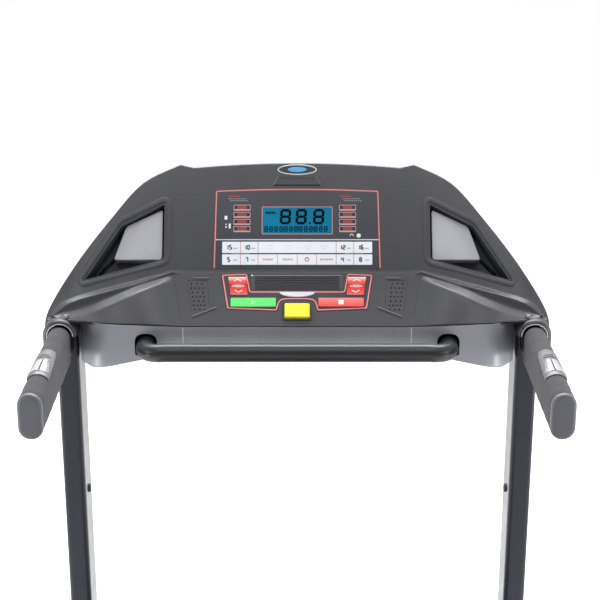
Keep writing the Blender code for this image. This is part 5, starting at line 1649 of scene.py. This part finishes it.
# ---------------------------------------------------------------- carried-over CAD nodes
CARRIED = {
    "display_board": (CIRCUIT, "circuit_board"), "fan_housing": (DARK, "dark_plastic"),
    "fan_impeller": (DARK, "dark_plastic"), "base_frame": (POWDER_BLACK, "black_steel"),
    "wheel_axle": (ZINC, "zinc_steel"), "lift_axle": (ZINC, "zinc_steel"),
    "lift_frame": (POWDER_BLACK, "black_steel"), "motor_frame": (POWDER_BLACK, "black_steel"),
    "drive_motor": (MOTOR_CASE, "motor_steel"), "motor_flywheel": (ZINC, "motor_steel"),
    "drive_belt": (RUBBER, "black_rubber"), "motor_controller": (MOTOR_CASE, "motor_steel"),
    "incline_motor": (MOTOR_CASE, "motor_steel"), "incline_screw_tube": (ZINC, "zinc_steel"),
    "power_switch": (RED_SWITCH, "red_key"), "deck_frame": (POWDER_BLACK, "black_steel"),
    "running_board": (BOARD, "deck_board"), "strut_cylinder": (SATIN_BLACK, "black_steel"),
    "strut_rod": (ZINC, "zinc_steel"),
}
SHARP = {"display_board", "fan_impeller", "fan_housing", "drive_belt"}


def carried_nodes():
    """The CAD nodes that are shown as they are: a procedural material and broken edges."""
    for name, (mat, slot) in CARRIED.items():
        obj = nodes[name]
        obj.data.materials.clear()
        obj.data.materials.append(mat)
        if name not in SHARP:
            bevelled(obj, 0.0010, 2)


# ---------------------------------------------------------------- stage
def stage():
    bm = bmesh.new()
    bmesh.ops.create_grid(bm, x_segments=1, y_segments=1, size=30)
    mesh = bpy.data.meshes.new("studio_floor")
    bm.to_mesh(mesh)
    bm.free()
    floor = bpy.data.objects.new("studio_floor", mesh)
    bpy.context.scene.collection.objects.link(floor)
    made = Nodes("studio_floor")
    tone = made.between(made.noise(0.5), (0.90, 0.90, 0.90), (0.92, 0.92, 0.92))
    made.link(tone, made.shader.inputs["Base Color"])
    made.shader.inputs["Roughness"].default_value = 0.9
    made.shader.inputs["Specular IOR Level"].default_value = 0.1
    made.shader.inputs["Emission Color"].default_value = (1, 1, 1, 1)
    split = made.add("ShaderNodeSeparateXYZ")
    span = made.add("ShaderNodeMapRange", From_Min=-1.2, From_Max=1.3, To_Min=0.15, To_Max=0.45)
    made.link(made.coords.outputs["Object"], split.inputs["Vector"])
    made.link(split.outputs["Y"], span.inputs["Value"])
    made.link(span.outputs["Result"], made.shader.inputs["Emission Strength"])
    mesh.materials.append(made.mat)


def area_light(name, place, target, size, power, colour=(1, 1, 1)):
    data = bpy.data.lights.new(name, "AREA")
    data.shape = "RECTANGLE"
    data.size, data.size_y = size
    data.energy = power
    data.color = colour
    obj = bpy.data.objects.new(name, data)
    bpy.context.scene.collection.objects.link(obj)
    obj.location = place
    obj.rotation_euler = (Vector(target) - Vector(place)).to_track_quat("-Z", "Y").to_euler()
    obj.visible_camera = False


def studio():
    """White surroundings that are darker towards the user's side, and soft boxes above and beside."""
    world = bpy.data.worlds.new("studio")
    bpy.context.scene.world = world
    world.use_nodes = True
    tree = world.node_tree
    back = tree.nodes["Background"]
    coords = tree.nodes.new("ShaderNodeTexCoord")
    split = tree.nodes.new("ShaderNodeSeparateXYZ")
    ramp = tree.nodes.new("ShaderNodeValToRGB")
    span = tree.nodes.new("ShaderNodeMapRange")
    span.inputs["From Min"].default_value = -1.0
    tree.links.new(coords.outputs["Generated"], split.inputs["Vector"])
    tree.links.new(split.outputs["Y"], span.inputs["Value"])
    tree.links.new(span.outputs["Result"], ramp.inputs["Fac"])
    ramp.color_ramp.elements[0].position = 0.10
    ramp.color_ramp.elements[0].color = (0.30, 0.305, 0.32, 1)
    ramp.color_ramp.elements[1].position = 0.75
    ramp.color_ramp.elements[1].color = (0.98, 0.99, 1.0, 1)
    tree.links.new(ramp.outputs["Color"], back.inputs["Color"])
    back.inputs["Strength"].default_value = 0.85
    focus = CONSOLE
    area_light("back_top", focus + Vector((0.0, 1.5, 2.0)), focus, (3.0, 1.2), 165)
    area_light("ridge_strip", focus + Vector((0.0, -1.0, 1.8)), focus, (2.6, 0.22), 16)
    for side in (-1, 1):
        area_light("side_soft", focus + Vector((side * 1.7, -0.50, -0.15)), focus, (0.45, 1.2), 16)
    bpy.context.scene.view_settings.view_transform = "Standard"


def camera():
    elevation, distance, lens = math.radians(19), 2.55, 89.2
    data = bpy.data.cameras.new("camera")
    data.lens, data.sensor_width = lens, 36
    data.clip_start, data.clip_end = 0.05, 60
    obj = bpy.data.objects.new("camera", data)
    bpy.context.scene.collection.objects.link(obj)
    away = Vector((0, -math.cos(elevation), math.sin(elevation)))
    obj.location = CONSOLE + Vector((0.005, 0, 0)) + away * distance
    obj.rotation_euler = (math.pi / 2 - elevation, 0, 0)
    bpy.context.scene.camera = obj


def main():
    camera()
    studio()
    stage()
    shell, columns = upper_shell()
    cast = surface_of(columns)
    trays(cast)
    shell_trim(cast)
    cut_upper_shell(shell)
    lower_shell()
    back_cover()
    handle_collars()
    display_face()
    control_face()
    speakers()
    fan_front()
    handles()
    front_bar()
    uprights()
    running_belt()
    side_rails()
    end_caps()
    motor_hood()
    wheels_and_feet()
    rollers()
    carried_nodes()


main()
